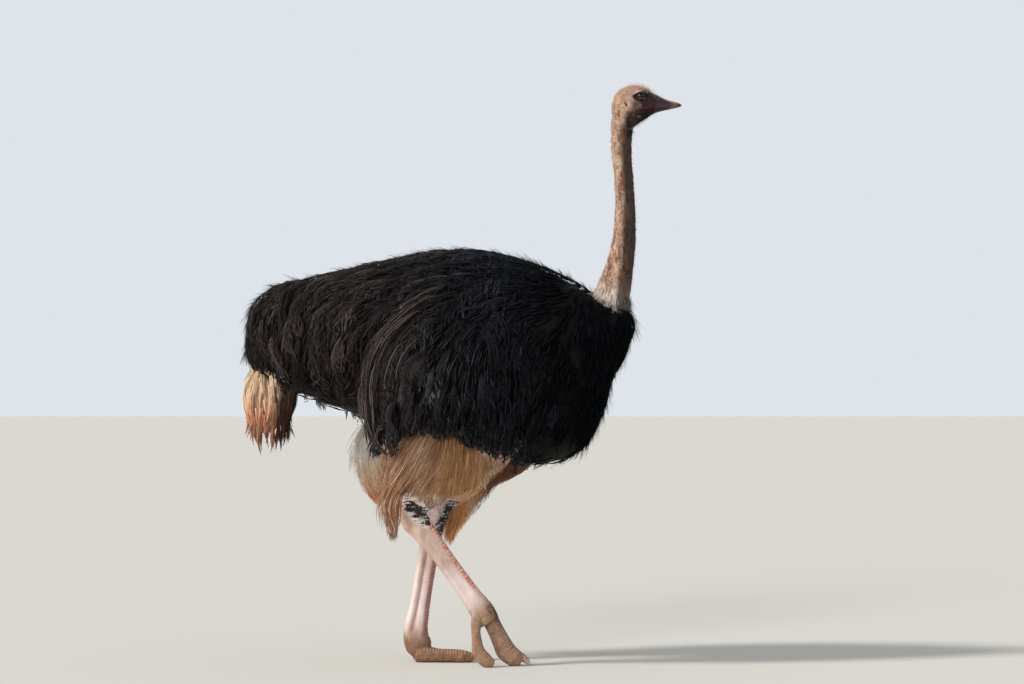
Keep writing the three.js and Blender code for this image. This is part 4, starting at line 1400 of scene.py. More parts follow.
def add_plumes(
    coat, path, normal, lift, rng, hang, root, crest, tip, low=8, high=4, stations=6, contrast=0.3,
    crimp=2.4, wavelength=24.0, girth=1.5
):
    """Adds drooping plumes: a shaft along each path, with wavy locks of barbs that leave it and hang down.

    lift (F, K) raises the shaft over the path. hang (F) is the length of the barbs. root, crest and tip
    (F, 3) are colours. low and high count the locks on the lower side and on the upper one. stations are
    points on each barb. contrast is how much the locks' tones differ."""
    count, each = len(path), 2
    path = path + normal * lift[..., None]
    heading = unit(np.gradient(path, axis=1))
    side = unit(np.cross(normal, heading))
    down = np.sign(-side[..., 2].mean(1) + 1e-6)
    side = side * down[:, None, None]
    uv = unwrap(path[:, 0])

    locks = low + high
    lower = np.arange(locks) < low
    mid = np.where(lower, (np.arange(locks) + 0.6) / low, (np.arange(locks) - low + 0.5) / max(high, 1) * 0.9)
    mid = np.clip(mid[None] + rng.normal(0, 0.35 / low, (count, locks)), 0.02, 1.0)
    lock_hang = rng.uniform(0.72, 1.2, (count, locks)) * (
        0.5 + 0.5 * np.sin(math.pi * np.clip(0.16 + 0.7 * mid, 0, 1))
    )
    lock_hang = lock_hang * np.where(lower, 1.0, 0.75)
    lock_tone = np.exp(rng.normal(0, contrast, (count, locks)))
    lock_phase = rng.uniform(0, TURN, (count, 1)) + 5 * mid + rng.normal(0, 0.5, (count, locks))
    lock_lift = rng.normal(0, 2.0, (count, locks))
    lock_lean = rng.normal(0, 0.14, (count, locks))

    m = locks * each
    wide = lambda a: np.repeat(a, each, axis=-1)
    sign = np.where(wide(lower), 1.0, -1.0)[None, :, None, None]
    slot = (np.tile(np.arange(each), locks) + 0.5) / each - 0.5
    s_root = wide(mid) + slot[None] * 0.8 / low + rng.normal(0, 0.1 / low, (count, m))
    tau = np.linspace(0, 1, stations)
    s = np.clip(s_root[..., None] + (wide(mid) - s_root)[..., None] * 0.8 * tau, 0, 1.02)
    flat = lambda a: a.reshape(count, m * stations)
    base = read_path(path, flat(s)).reshape(count, m, stations, 3)
    near = np.broadcast_to(np.clip(s_root, 0, 1)[..., None], s.shape)
    ahead = unit(read_path(heading, flat(near)).reshape(count, m, stations, 3))
    across = unit(read_path(side, flat(near)).reshape(count, m, stations, 3))
    out = unit(np.cross(ahead, across)) * down[:, None, None, None]
    drop = -UP - out * dot(np.broadcast_to(-UP, out.shape), out)[..., None]
    lean = wide(lock_lean)[..., None, None]
    drop = unit(drop + (0.3 + lean) * ahead + 0.12 * across)
    start = unit((1 - 0.45 * BARB_SPREAD) * ahead + sign * BARB_SPREAD * across)
    long = (hang[:, None] * wide(lock_hang) * rng.uniform(0.85, 1.12, (count, m)))[..., None, None]
    a = (0.4 * (1 - (1 - tau) ** 2))[None, None, :, None]
    b = (0.78 * tau**1.5)[None, None, :, None]
    centre = base + long * (start * a + drop * b)
    sway = unit(np.cross(out, drop))
    phase = wide(lock_phase)[..., None] + rng.normal(0, 0.2, (count, m, 1))
    turn = phase + TURN * long[..., 0] * tau / wavelength
    grow = np.minimum(tau * 2.0, 1)
    centre = centre + sway * (crimp * np.sin(turn) * grow)[..., None]
    bend = 7.0 * tau**1.3 - (1 - (sign[..., 0] + 1) / 2) * 0.17 * long[..., 0] * np.sin(math.pi * tau**0.8)
    wave = 1.2 * np.sin(turn + 1.3) * grow
    centre = centre + out * (wide(lock_lift)[..., None] * tau + wave - bend)[..., None]

    taper = np.interp(tau, [0, 0.25, 0.6, 0.85, 1], [0.7, 1.0, 0.9, 0.55, 0.2])
    width = girth * rng.uniform(0.8, 1.2, (count, m, 1)) * taper
    # painted light and shade: each barb is lighter at the crest where it leaves the shaft, darker in its
    # middle, and lighter again towards its tip
    to_crest = np.interp(tau, [0, 0.12, 0.42], [1, 0.8, 0])[None, None, :, None]
    to_tip = (ease(tau, 0.35, 0.8) * (1 - 0.25 * ease(tau, 0.85, 1)))[None, None, :, None]
    base_tone = root[:, None, None]
    tone = base_tone + (
        crest[:, None, None] - base_tone
    ) * to_crest + (tip[:, None, None] - base_tone) * to_tip
    tone = tone * (wide(lock_tone)[..., None] * rng.uniform(0.85, 1.15, (count, m, 1)))[..., None]
    coat.add_barbs(centre, out, width, 0.7, tone, uv)

    # the shaft takes the crest's colour, a little lighter, as a painted highlight
    coat.add_shafts(path, normal, 1.3, 0.3, np.repeat(crest[:, None], SHAFT_STATIONS, axis=1) * 1.1, uv)


def add_feathers(
    coat, path, normal, lift, rng, half, root, tip, barbs, run, droop, camber, crimp, rough, girth, shaft,
    shaft_tone=1.3
):
    """Adds flat feathers to a coat: a shaft along each path, with soft barbs on both sides.

    lift (F, K) raises the shaft over the path, and half (F) is the widest reach of the barbs. barbs counts
    them on each side, run is how far they follow the shaft, droop turns them to the ground, camber bends
    them down, crimp waves them and rough lifts some. root and tip (F, 3) are colours."""
    count, stations = len(path), 4
    path = path + normal * lift[..., None]
    length = np.linalg.norm(np.diff(path, axis=1), axis=-1).sum(1)
    heading = unit(np.gradient(path, axis=1))
    side = unit(np.cross(normal, heading))
    up = np.cross(heading, side)
    uv = unwrap(path[:, 0])

    # barbs, on both sides of every shaft
    m = 2 * barbs
    sign = np.where(np.arange(m) % 2 == 0, 1.0, -1.0)[None]
    s0 = 0.1 + 0.86 * (np.arange(m)[None] + rng.random((count, m))) / m
    shape = np.sin(math.pi * np.clip(0.14 + 0.74 * s0**0.85, 0, 1)) ** 0.8
    reach = half[:, None] * shape * rng.uniform(0.7, 1.25, (count, m))
    run = run * (1 - 0.35 * s0) * rng.uniform(0.75, 1.25, (count, m))
    tau = np.linspace(0, 1, stations)[None, None]
    s = s0[..., None] + run[..., None] * tau**1.1
    w = (sign * reach)[..., None] * tau**0.8
    barb_length = np.hypot(reach, run * length[:, None])
    phase = rng.uniform(0, TURN, (count, 1, 1)) + rng.normal(0, 0.5, (count, m, 1))
    wave = np.sin(phase + TURN * barb_length[..., None] * tau / 34.0)
    w = w + crimp * wave * np.minimum(tau * 2.5, 1)
    flat = lambda a: a.reshape(count, m * stations)
    base = read_path(path, flat(s)).reshape(count, m, stations, 3)
    f_side = read_path(side, flat(np.minimum(s, 1))).reshape(count, m, stations, 3)
    f_up = unit(read_path(up, flat(np.minimum(s, 1))).reshape(count, m, stations, 3))
    bend = camber * (np.abs(w) / half[:, None, None]) ** 1.6
    raised = rng.normal(0, rough, (count, m, 1)) * tau
    centre = base + f_side * w[..., None] - f_up * (bend - raised)[..., None]
    drop = -UP - f_up * np.minimum(dot(np.broadcast_to(-UP, f_up.shape), f_up), 0)[..., None]
    centre = centre + drop * (droop * barb_length[..., None] * tau**1.8)[..., None]
    taper = np.array([0.8, 1.0, 0.7, 0.3])
    width = girth * rng.uniform(0.75, 1.25, (count, m, 1)) * taper
    share = (0.25 * s0[..., None] + 0.75 * tau) ** 1.3
    tone = root[:, None, None] + (tip - root)[:, None, None] * share[..., None]
    tone = tone * rng.uniform(0.82, 1.2, (count, m, 1, 1))
    coat.add_barbs(centre, f_up, width, 0.75, tone, uv)

    t = np.linspace(0, 1, SHAFT_STATIONS)[None].repeat(count, 0)
    tone = root[:, None] + (tip - root)[:, None] * (0.6 * t)[..., None]
    coat.add_shafts(path, up, shaft, 0.35, tone * shaft_tone, uv)


def add_hairs(coat, centre, up, girth, root, tip, rng, taper=None):
    """Adds plain strands along centre (N, S, 3)."""
    n, stations = centre.shape[:2]
    shape = np.linspace(1, 0.25, stations) if taper is None else taper
    width = girth * rng.uniform(0.75, 1.25, (n, 1)) * shape
    t = np.linspace(0, 1, stations)[None, :, None]
    tone = root[:, None] * (1 - t) + tip[:, None] * t
    coat.add(centre, up, width, width * 0.8, tone, unwrap(centre[:, 0]))


def rise(steps, count, depth, lift=0.0, curl=0.0, power=1.7):
    """How far a shaft stands over its path: it leaves the skin, and levels out at the coat's surface."""
    s = np.linspace(0, 1, steps + 1)[None]
    depth, lift, curl = (np.broadcast_to(v, (count,))[:, None] for v in (depth, lift, curl))
    return -depth * (1 - s) ** power + lift * np.sin(math.pi * s) + curl * ease(s, 0.62, 1.1)


def toward(pitch, sideways=0.0):
    """A heading: pitch is in degrees from straight back, down through 90 and on to the front."""
    a = np.radians(pitch)
    return np.stack([-np.cos(a), np.broadcast_to(sideways, a.shape), -np.sin(a)], axis=1)


DENSITY = float(FEWER)  # spacing of feathers is scaled by this
XS, TOPS, BOTTOMS = np.array(TRUNK, float).T[:3]
BODY = MeshGuide(*sweep(trunk_rings(3), 72, 110, 2.15, FORWARD))


def rim_of(outline, heart):
    """Angles round the heart in rising order, and the outline's distance from it at each."""
    loop = np.array(outline + [outline[0]], float)
    loop = np.stack([loop[:, 0], np.zeros(len(loop)), loop[:, 1]], axis=1)
    rim = spread(loop, np.linspace(0, 1, 400))[:, [0, 2]] - heart
    angle = np.arctan2(rim[:, 1], rim[:, 0])
    order = np.argsort(angle)
    return angle[order], np.hypot(*rim.T)[order]


class Leaf:
    """A leaf's outline as shares from its heart: 0 there and 1 at the rim."""

    def __init__(self, outline, heart):
        self.heart = heart
        self.angle, self.reach = rim_of(outline, heart)

    def share(self, x, z):
        dx, dz = x - self.heart[0], z - self.heart[1]
        return np.hypot(dx, dz) / np.interp(np.arctan2(dz, dx), self.angle, self.reach, period=2 * math.pi)


WING_LEAF = Leaf(WING, WING_HEART)


def wing_depth(x, z):
    """How far the wing's outer face stands from the bird's middle plane. It falls away past the rim."""
    share = WING_LEAF.share(x, z)
    swell = 50 * np.sqrt(np.clip(1 - share**2, 0, 1)) - 130 * np.maximum(share - 1, 0)
    return wing_middle(x, z) + swell


NECK_FOOT_X = 515


def body_heading(p, n):
    """The lie of the trunk's plumes: back along the spine, and down over the flanks, rump and breast."""
    x, z = p[:, 0], p[:, 2]
    top, bottom = np.interp(x, XS, TOPS), np.interp(x, XS, BOTTOMS)
    share = np.clip((top - z) / (top - bottom), 0, 1)
    pitch = 5 + 62 * ease(share, 0.02, 0.55)
    rump = fall(x, -640, -330)
    pitch = pitch * (1 - rump) + 88 * rump
    breast = ease(x, 300, 470)
    pitch = pitch * (1 - breast) + 84 * breast
    belly = fall(n[:, 2], -0.9, -0.25) * (1 - breast)
    pitch = pitch * (1 - belly) + 22 * belly
    outward = np.sign(p[:, 1]) * 0.34 * (1 - ease(np.abs(p[:, 1]), 40, 200)) * fall(x, 250, 420)
    lie = toward(pitch, outward)
    # round the foot of the neck they point away from it, and down
    away = np.stack([x - NECK_FOOT_X, p[:, 1], 0 * x], axis=1)
    near = fall(np.hypot(x - NECK_FOOT_X, p[:, 1]), 120, 230) * ease(z, 1130, 1230)
    return mix(lie, unit(away) * 0.9 - UP * 0.7, near)


def feather_colours(p, rng, stand, bright=1.0, brown=1.0):
    """Root, crest and tip colours of black plumes: brown at the rump, and near black on the breast, which is
    partly painted shade.

    stand, about -1 to 1, says how far a plume stands out: those are lighter as painted light, and sunk ones
    darker as painted shade."""
    count = len(p)
    back = fall(p[:, 0], -300, 140) * brown
    front = ease(p[:, 0], 150, 360)
    root = mix(rgb(11, 12, 14), rgb(17, 14, 13), back)
    # crests and tips are lighter: partly their own sun-bleached brown and partly painted highlight
    crest = mix(rgb(42, 43, 49), rgb(74, 64, 63), back)
    tip = mix(rgb(54, 57, 66), rgb(72, 64, 63), back)
    # painted shade: darker towards the front; darker also at the rump's edge and along the top
    dim = 1 - 0.38 * ease(p[:, 0], -80, 160) - 0.34 * fall(p[:, 0], -640, -500)
    dim = (dim * (1 - 0.22 * ease(p[:, 2], 1270, 1380)))[:, None]
    # painted shade: towards the breast the colours turn to a bluish near black
    crest = mix(crest * dim, rgb(12, 14, 19), front)
    tip = mix(tip * dim, rgb(14, 17, 23), front)
    root = mix(root, rgb(6, 7, 9), front)
    tone = (np.exp(rng.normal(0, 0.4, count)) * (1 + 0.3 * np.clip(stand, -1, 1)) * bright)[:, None]
    return dict(root=root, crest=crest * tone, tip=tip * tone)


def in_drapes(guide, seeds, heading, each, rng):
    """Puts a few plumes side by side at every seed, so that they read as one broad drape.

    Returns the roots, the seed that each belongs to, and its row: 0 is at the upper edge."""
    on, n = guide.settle(seeds)
    h = heading(on, n)
    h = unit(h - n * dot(h, n)[:, None])
    side = np.cross(n, h)
    side = side * np.sign(-side[:, 2:] + 1e-6)
    owner = np.repeat(np.arange(len(on)), each)
    row = np.tile(np.arange(each), len(on))
    across = (row - 1) * 8.0 * DENSITY + rng.normal(0, 2, len(row))
    along = rng.uniform(-14, 14, len(row)) + 4 * row
    p = on[owner] + side[owner] * across[:, None] + h[owner] * along[:, None]
    return guide.settle(p)[0], owner, row


def add_drapes(coat, path, normal, offsets, row, rng, hang, tones, **o):
    """A smooth lit crest along the upper edge of each drape, and curtains of wavy barbs under it."""
    top = row == 0
    pick = lambda mask: {k: v[mask] for k, v in tones.items()}
    if top.any():
        tone = pick(top)
        add_feathers(
            coat, path[top], normal[top], offsets[top] + 3, rng, half=rng.uniform(9, 15, top.sum()),
            barbs=11, run=0.3, droop=0.2, camber=7, crimp=0.9, rough=1.2, girth=1.25, shaft=1.4,
            shaft_tone=1.35, root=tone["root"] * 0.4 + tone["crest"] * 0.6, tip=tone["crest"]
        )
    add_plumes(coat, path[~top], normal[~top], offsets[~top], rng, hang=hang[~top], **pick(~top), **o)


# the rear edge of the wing, from the shoulder down to its braided tip, as x and z
WING_EDGE = [
    (-60, 1330), (-190, 1252), (-254, 1186), (-296, 1115), (-318, 1037), (-327, 955), (-324, 884),
    (-304, 813), (-262, 748)
]
WING_EDGE_XS, WING_EDGE_ZS = np.array(WING_EDGE[::-1], float).T

# the lower edge of the black over the thigh, as x and z
HEM = np.array([(-240, 800), (-112, 822), (-23, 802), (66, 755), (137, 722), (220, 708)], float)


def hem_at(x):
    return np.interp(x, HEM[:, 0], HEM[:, 1])


# where fine tips stand up along the outline, and how many tufts of them there are
FUZZ = {
    "belly": (lambda p, n: (n[:, 2] < -0.35) & (p[:, 0] > -40) & (p[:, 0] < 560), 160),
    "back": (lambda p, n: (n[:, 2] > 0.4) & (p[:, 0] > -560) & (p[:, 0] < 300), 500),
    "rump": (lambda p, n: (p[:, 0] < -560) & (n[:, 2] > -0.5), 260),
    "breast": (lambda p, n: ((p[:, 0] > 420) & (n[:, 0] > 0.2)) | ((p[:, 0] > 250) & (n[:, 2] > 0.15)), 720)
}


def add_under(coat, guide, roots, heading, each, rng, girth=3.6, floor=None):
    """Broad dark strands close to the skin, that show between the plumes, at half their brightness as painted
    shade.
    """
    n = len(roots) * each
    p = np.repeat(roots, each, axis=0) + rng.normal(0, 24, (n, 3))
    length = rng.uniform(60, 100, n)
    if floor is not None:
        length = np.clip(p[:, 2] - floor(p[:, 0]), 8, length)
    path, normal = paths_over(guide, p, heading, length, rng.normal(0, 0.5, n), steps=3)
    if floor is not None:
        keep = (length > 20) & (path[..., 2] > floor(path[..., 0]) - 5).all(axis=1)
        p, path, normal, n = p[keep], path[keep], normal[keep], keep.sum()
    path = path + normal * (-5 + 3 * rng.random((n, 1)) + np.array([-3, 1, 3, 2.0]))[..., None]
    # painted shade: half as bright as the plumes over them
    tone = feather_colours(p, rng, rng.normal(0, 0.5, n), 0.5)
    add_hairs(coat, path, normal, girth, tone["root"], tone["tip"], rng, np.array([0.6, 1.0, 0.8, 0.2]))


def add_fuzz(coat, where, rng):
    """Small tufts of fine tips that rise from the coat."""
    mask, count = where
    p = BODY.scatter(
        17 * DENSITY, lambda q: (q[:, 0] < -540) | (q[:, 0] > 400) | (q[:, 2] > 1240) | (q[:, 2] < 990), rng
    )
    on, n = BODY.settle(p)
    on, n = on[mask(on, n)], n[mask(on, n)]
    pick = rng.permutation(len(on))[: int(count / DENSITY)]
    on, n = on[pick], n[pick]
    lie = body_heading(on, n)
    lie = unit(lie - n * dot(lie, n)[:, None])
    side = np.cross(n, lie)
    count, each, stations = len(on), 4, 4
    t = np.linspace(0, 1, stations)[None, :, None]
    tone = feather_colours(on, rng, rng.normal(0.2, 0.4, count))
    long = rng.uniform(24, 46, count) * np.where(rng.random(count) < 0.2, 1.35, 1)
    angle = rng.uniform(0.3, 0.85, count)
    for k in range(each):
        off = (k - 1.5) * 3.8
        aim = unit(lie * np.cos(angle)[:, None] + n * np.sin(angle)[:, None] + rng.normal(0, 0.1, (count, 3)))
        reach = (long * rng.uniform(0.7, 1.1, count))[:, None, None]
        root = on + side * off + rng.normal(0, 2, (count, 3)) - n * 6
        bend = lie[:, None] * (t**2) * 0.5 * reach + side[:, None] * 1.6 * np.sin(
            5 * t + rng.uniform(0, TURN, (count, 1, 1))
        )
        centre = root[:, None] + aim[:, None] * t * reach + bend - side[:, None] * off * 0.5 * t
        add_hairs(
            coat, centre, np.repeat(n[:, None], stations, axis=1), 1.1, tone["root"], tone["tip"] * 0.9, rng
        )


def dress_body():
    """The black plumes of the trunk, in six pieces."""
    rng = np.random.default_rng(7)

    def visible(p):
        under_wing = (WING_LEAF.share(p[:, 0], p[:, 2]) < 0.72) & (np.abs(p[:, 1]) > 150)
        neck = (p[:, 0] > 470) & (p[:, 2] > 1235) & (np.abs(p[:, 1]) < 60)
        return ~under_wing & ~neck

    fine = BODY.scatter(43 * DENSITY, lambda p: visible(p) & (p[:, 0] > 290), rng)
    seeds = BODY.scatter(78 * DENSITY, lambda p: visible(p) & (p[:, 0] <= 290), rng)
    between = BODY.scatter(64 * DENSITY, lambda p: visible(p) & (p[:, 0] <= 290), rng)
    fine = np.concatenate([fine, between])
    broad, owner, row = in_drapes(BODY, seeds, body_heading, 3, rng)
    first = np.concatenate([seeds, fine])
    roots = np.concatenate([broad, fine])
    owner = np.concatenate([owner, len(seeds) + np.arange(len(fine))])
    row = np.concatenate([row, 1 + rng.integers(0, 3, len(fine))])
    drapes = len(first)
    level = noise(first, 110, 91)
    drape = dict(
        length=rng.uniform(130, 200, drapes),
        turn=-np.sign(first[:, 1]) * (0.5 + rng.normal(0, 0.24, drapes) + 0.45 * noise(first, 130, 92)),
        stand=1.1 * level + rng.normal(0, 0.4, drapes),
        # painted shade: the plumes between the drapes are darker
        tone=np.exp(rng.normal(0, 0.26, drapes)) * np.where(np.arange(drapes) < len(seeds), 1.12, 0.6),
        lift=rng.uniform(-3, 13, drapes) - 5 * (np.arange(drapes) >= len(seeds)),
        curl=np.where(rng.random(drapes) < 0.25, rng.uniform(3, 14, drapes), rng.normal(-5, 3, drapes))
    )
    on, n = BODY.settle(roots)
    x, y = on.T[:2]
    taken = (n[:, 2] < -0.6) & (rng.random(len(on)) < 0.6)
    groups = {
        "back": (n[:, 2] > 0.55) & (x > -470) & (x < 330), "rump": x <= -470, "breast": x >= 330,
        "belly": n[:, 2] < -0.55, "flank_right": y < 0, "flank_left": y >= 0
    }
    for name, mask in groups.items():
        mask = mask & ~taken
        taken |= mask
        p, mine = on[mask], owner[mask]
        count = len(p)
        front = ease(p[:, 0], 260, 400)
        length = drape["length"][mine] * (1 - 0.4 * front) * rng.uniform(0.9, 1.1, count)
        hang = rng.uniform(46, 72, count) * (1 - 0.3 * front)
        # over the thighs they stop at the hem
        room = p[:, 2] - hem_at(p[:, 0])
        over = (np.abs(p[:, 0] + 10) < 230) & (np.abs(p[:, 1]) > 120)
        length = np.where(over, np.clip(room - 36 + rng.normal(0, 10, count), 30, length), length)
        hang = np.where(over, np.clip(0.6 * room, 16, hang), hang)
        # below they keep close to the body
        low_rear = ease(-n[mask][:, 2], 0.1, 0.45) * fall(p[:, 0], -220, -120)
        low = np.maximum(ease(-n[mask][:, 2], 0.2, 0.7), low_rear)
        hang = hang * (1 - 0.8 * low - 0.15 * low_rear)
        stand = drape["stand"][mine] + rng.normal(0, 0.12, count)
        turns = drape["turn"][mine] + rng.normal(0, 0.05, count)
        path, normal = paths_over(BODY, p, body_heading, length, turns, hang=0.9)
        # they lie flatter along the back and round the rump, where they make the outline, and by the neck
        flat = np.maximum(ease(n[mask][:, 2], 0.35, 0.8), fall(p[:, 0], -640, -520))
        flat = np.maximum(flat, 1.5 * ease(p[:, 0], 330, 430) * ease(n[mask][:, 2], 0.1, 0.5))
        # the wing casts its shade just behind its rear edge
        edge_x = np.interp(p[:, 2], WING_EDGE_ZS, WING_EDGE_XS)
        shade = 1 - 0.5 * ease(
            p[:, 0] - edge_x, -130, -20
        ) * (p[:, 0] < edge_x) * ease(np.abs(p[:, 1]), 120, 200)
        lift = (
            drape["lift"][mine] + 8 * stand
        ) * (1 - 0.5 * front) * (1 - 0.65 * flat) * (1 - 0.75 * low) + 2 * (3 - row[mask])
        curl = drape["curl"][mine] * (1 - 0.5 * front) * (1 - 0.5 * flat) * (1 - 0.9 * low)
        offsets = rise(STEPS, count, COAT_DEPTH - 2, lift, curl)
        neck_foot = ease(p[:, 0], 300, 400) * ease(n[mask][:, 2], 0.5, 0.85)
        offsets = offsets - (3 * low + 9 * low_rear + 3 * flat + 7 * neck_foot)[:, None]
        coat = Coat(f"coat_{name}")
        add_drapes(
            coat, path, normal, offsets, row[mask], rng, hang=hang,
            tones=feather_colours(p, rng, stand, drape["tone"][mine] * shade), stations=5, wavelength=27,
            crimp=2.8, girth=1.6
        )
        add_under(
            coat, BODY, p, body_heading, 2 if name == "belly" else 3, rng,
            6.0 if name in ("breast", "belly") else 4.2
        )
        if name in FUZZ:
            add_fuzz(coat, FUZZ[name], rng)
        coat.finish(MATT_FEATHER if name == "breast" else FEATHER, "black_feather")


def wing_heading(p, n):
    """The lie of the wing's plumes: back at the shoulder, and down at the tip."""
    x, z = p[:, 0], p[:, 2]
    pitch = 14 + 66 * fall(z, 1020, 1330)
    pitch = pitch + 30 * fall(z, 760, 900) * fall(x, -280, -140)
    pitch = pitch + 14 * ease(x, -60, 180)
    return toward(pitch)


# pale plumes of the wing: a line as x and z, how many lie side by side, their half-width and brightness
WING_MARKS = [
    ([(65, 1338), (-23, 1366), (-130, 1350), (-200, 1326), (-218, 1290), (-204, 1257)], 2, 7, 1.9),
    ([(20, 1322), (-60, 1334), (-150, 1312), (-188, 1282)], 2, 7, 1.6),
    ([(-207, 962), (-243, 919), (-250, 873), (-225, 824)], 2, 8, 2.0),
    ([(-160, 1000), (-180, 930), (-200, 866), (-196, 820)], 2, 8, 1.7),
    ([(-92, 1118), (-150, 1096), (-190, 1050), (-200, 1010), (-180, 984)], 4, 12, 1.5),
    ([(-258, 880), (-282, 838), (-292, 800), (-280, 764)], 1, 6, 2.4),
    ([(-40, 1010), (-75, 950), (-84, 890), (-70, 850)], 2, 8, 1.4),
    ([(60, 1200), (96, 1130), (104, 1060)], 3, 8, 1.7), ([(100, 1262), (140, 1200), (160, 1130)], 2, 7, 1.6)
]


WING_BOX = (-345, 700, 265, 1350)


def add_wing_drapes(coat, guide, side, rng):
    """Drapes of plumes all over the wing. Over the thigh they stop at the hem."""

    def covered(x, z):
        share = WING_LEAF.share(x, z)
        tip = (share < 0.97) & (x < -215) & (z > 785)
        return ((share < 0.97) & (z > 835)) | ((share < 1.12) & (x > -60) & (z < 860) & (z > 800)) | tip

    seeds = guide.scatter(66 * DENSITY, covered, WING_BOX, rng)
    roots, owner, row = in_drapes(guide, seeds, wing_heading, 3, rng)
    between = guide.scatter(69 * DENSITY, covered, WING_BOX, rng)
    owner = np.concatenate([owner, len(seeds) + np.arange(len(between))])
    row = np.concatenate([row, np.ones(len(between), int)])
    roots, seeds = np.concatenate([roots, between]), np.concatenate([seeds, between])
    count, drapes = len(roots), len(seeds)
    length = rng.uniform(95, 155, drapes)[owner] * rng.uniform(0.9, 1.1, count)
    room = roots[:, 2] - hem_at(roots[:, 0])
    over = roots[:, 0] > -215
    length = np.where(
        over, np.clip(room - 36 + rng.normal(0, 10, count), 26, length),
        np.clip(roots[:, 2] - 752, 26, length)
    )
    hang = rng.uniform(40, 64, count)
    hang = np.where(over, np.clip(0.55 * room, 12, hang), np.clip(0.7 * (roots[:, 2] - 755), 12, hang))
    stand = (1.1 * noise(seeds, 80, 93) + rng.normal(0, 0.45, drapes))[owner]
    turns = -side * (
        0.5 + rng.normal(0, 0.4, drapes) + 0.5 * noise(seeds, 90, 94)
    )[owner] + rng.normal(0, 0.06, count)
    path, normal = paths_over(guide, roots, wing_heading, length, turns)
    share = np.minimum(WING_LEAF.share(roots[:, 0], roots[:, 2]), 1)
    lift = rng.uniform(0, 12, drapes)[owner] + 8 * stand + 2 * (3 - row)
    offsets = rise(STEPS, count, 30 * (1 - 0.5 * share), lift, rng.normal(-4, 6, drapes)[owner])
    add_drapes(
        coat, path, normal, offsets, row, rng, hang=hang,
        tones=feather_colours(
            roots, rng, stand,
            (
                1.08 * np.exp(rng.normal(0, 0.26, drapes))
                # painted shade: the plumes between the drapes are darker
                * np.where(np.arange(drapes) < drapes - len(between), 1, 0.55)
            )[owner],
            0.5
        ),
        crimp=2.5, wavelength=23, girth=1.45, contrast=0.36
    )


def add_hem(coat, side, rng):
    """Hanging plumes over the top of the thigh."""
    count = 72 // FEWER
    x = np.linspace(-240, 222, count) + rng.normal(0, 5, count)
    bottom = hem_at(x) + 20 - np.minimum(rng.exponential(8, count), 18)
    drop = rng.uniform(60, 120, count)
    hem_guide = SheetGuide(
        side, lambda x, z: wing_middle(x, z) + 8 + 16 * ease(x, 50, 150) - 0.0006 * np.maximum(0, x) ** 2
    )
    roots = np.stack([x + 8, 0 * x, bottom + drop], axis=1)
    path, normal = paths_over(
        hem_guide, roots, lambda p, n: toward(np.full(len(p), 86.0)), drop, rng.normal(0, 0.16, count)
    )
    offsets = rise(STEPS, count, 18, rng.normal(3, 4, count), rng.normal(-4, 3, count))
    tones = feather_colours(roots, rng, rng.normal(-0.3, 0.4, count))
    add_plumes(
        coat, path, normal, offsets, rng, hang=rng.uniform(18, 30, count), low=7, high=5, girth=1.3, **tones
    )


EDGE_LINE = np.array([(x, 0.0, z) for x, z in WING_EDGE])


def runs(rng, count, starts, longs, knots, latest=1):
    """Lines along the rear edge: the share of it at each knot, and the points there (count, knots, 3).

    With no latest share, each line stops somewhere before the tip."""
    start, long = rng.uniform(*starts, count), rng.uniform(*longs, count)
    t = start[:, None] + long[:, None] * np.linspace(0, 1, knots)[None]
    t = np.clip(t, 0, latest) if latest else np.minimum(t, rng.uniform(0.86, 0.95, (count, 1)))
    return t, spread(EDGE_LINE, t.ravel()).reshape(count, knots, 3)


def follow(guide, line, inward):
    """Moves a line in from the wing's rear edge, and lays it on the wing."""
    run = unit(np.gradient(line, axis=1))
    inner = np.stack([-run[..., 2], np.zeros(run.shape[:2]), run[..., 0]], axis=-1)
    inner = inner * np.sign(inner[..., :1] + 1e-9)
    on, n = guide.settle((line + inner * inward[..., None]).reshape(-1, 3))
    return on.reshape(line.shape), n.reshape(line.shape)


def add_smooth(coat, path, normal, lift, half, bright, rng, barbs=22):
    """Smooth lit plumes, each along one path."""
    count = len(path)
    tone = feather_colours(path[:, 8], rng, rng.normal(0.2, 0.4, count), bright)
    add_feathers(
        coat, path, normal, rise(path.shape[1] - 1, count, 12, lift, -2, power=3), rng, half=half,
        barbs=barbs, run=0.2, droop=0.08, camber=8, crimp=0.9, rough=1.0, girth=1.1, shaft=1.5,
        shaft_tone=1.5, root=tone["root"] * 1.6, tip=tone["crest"]
    )


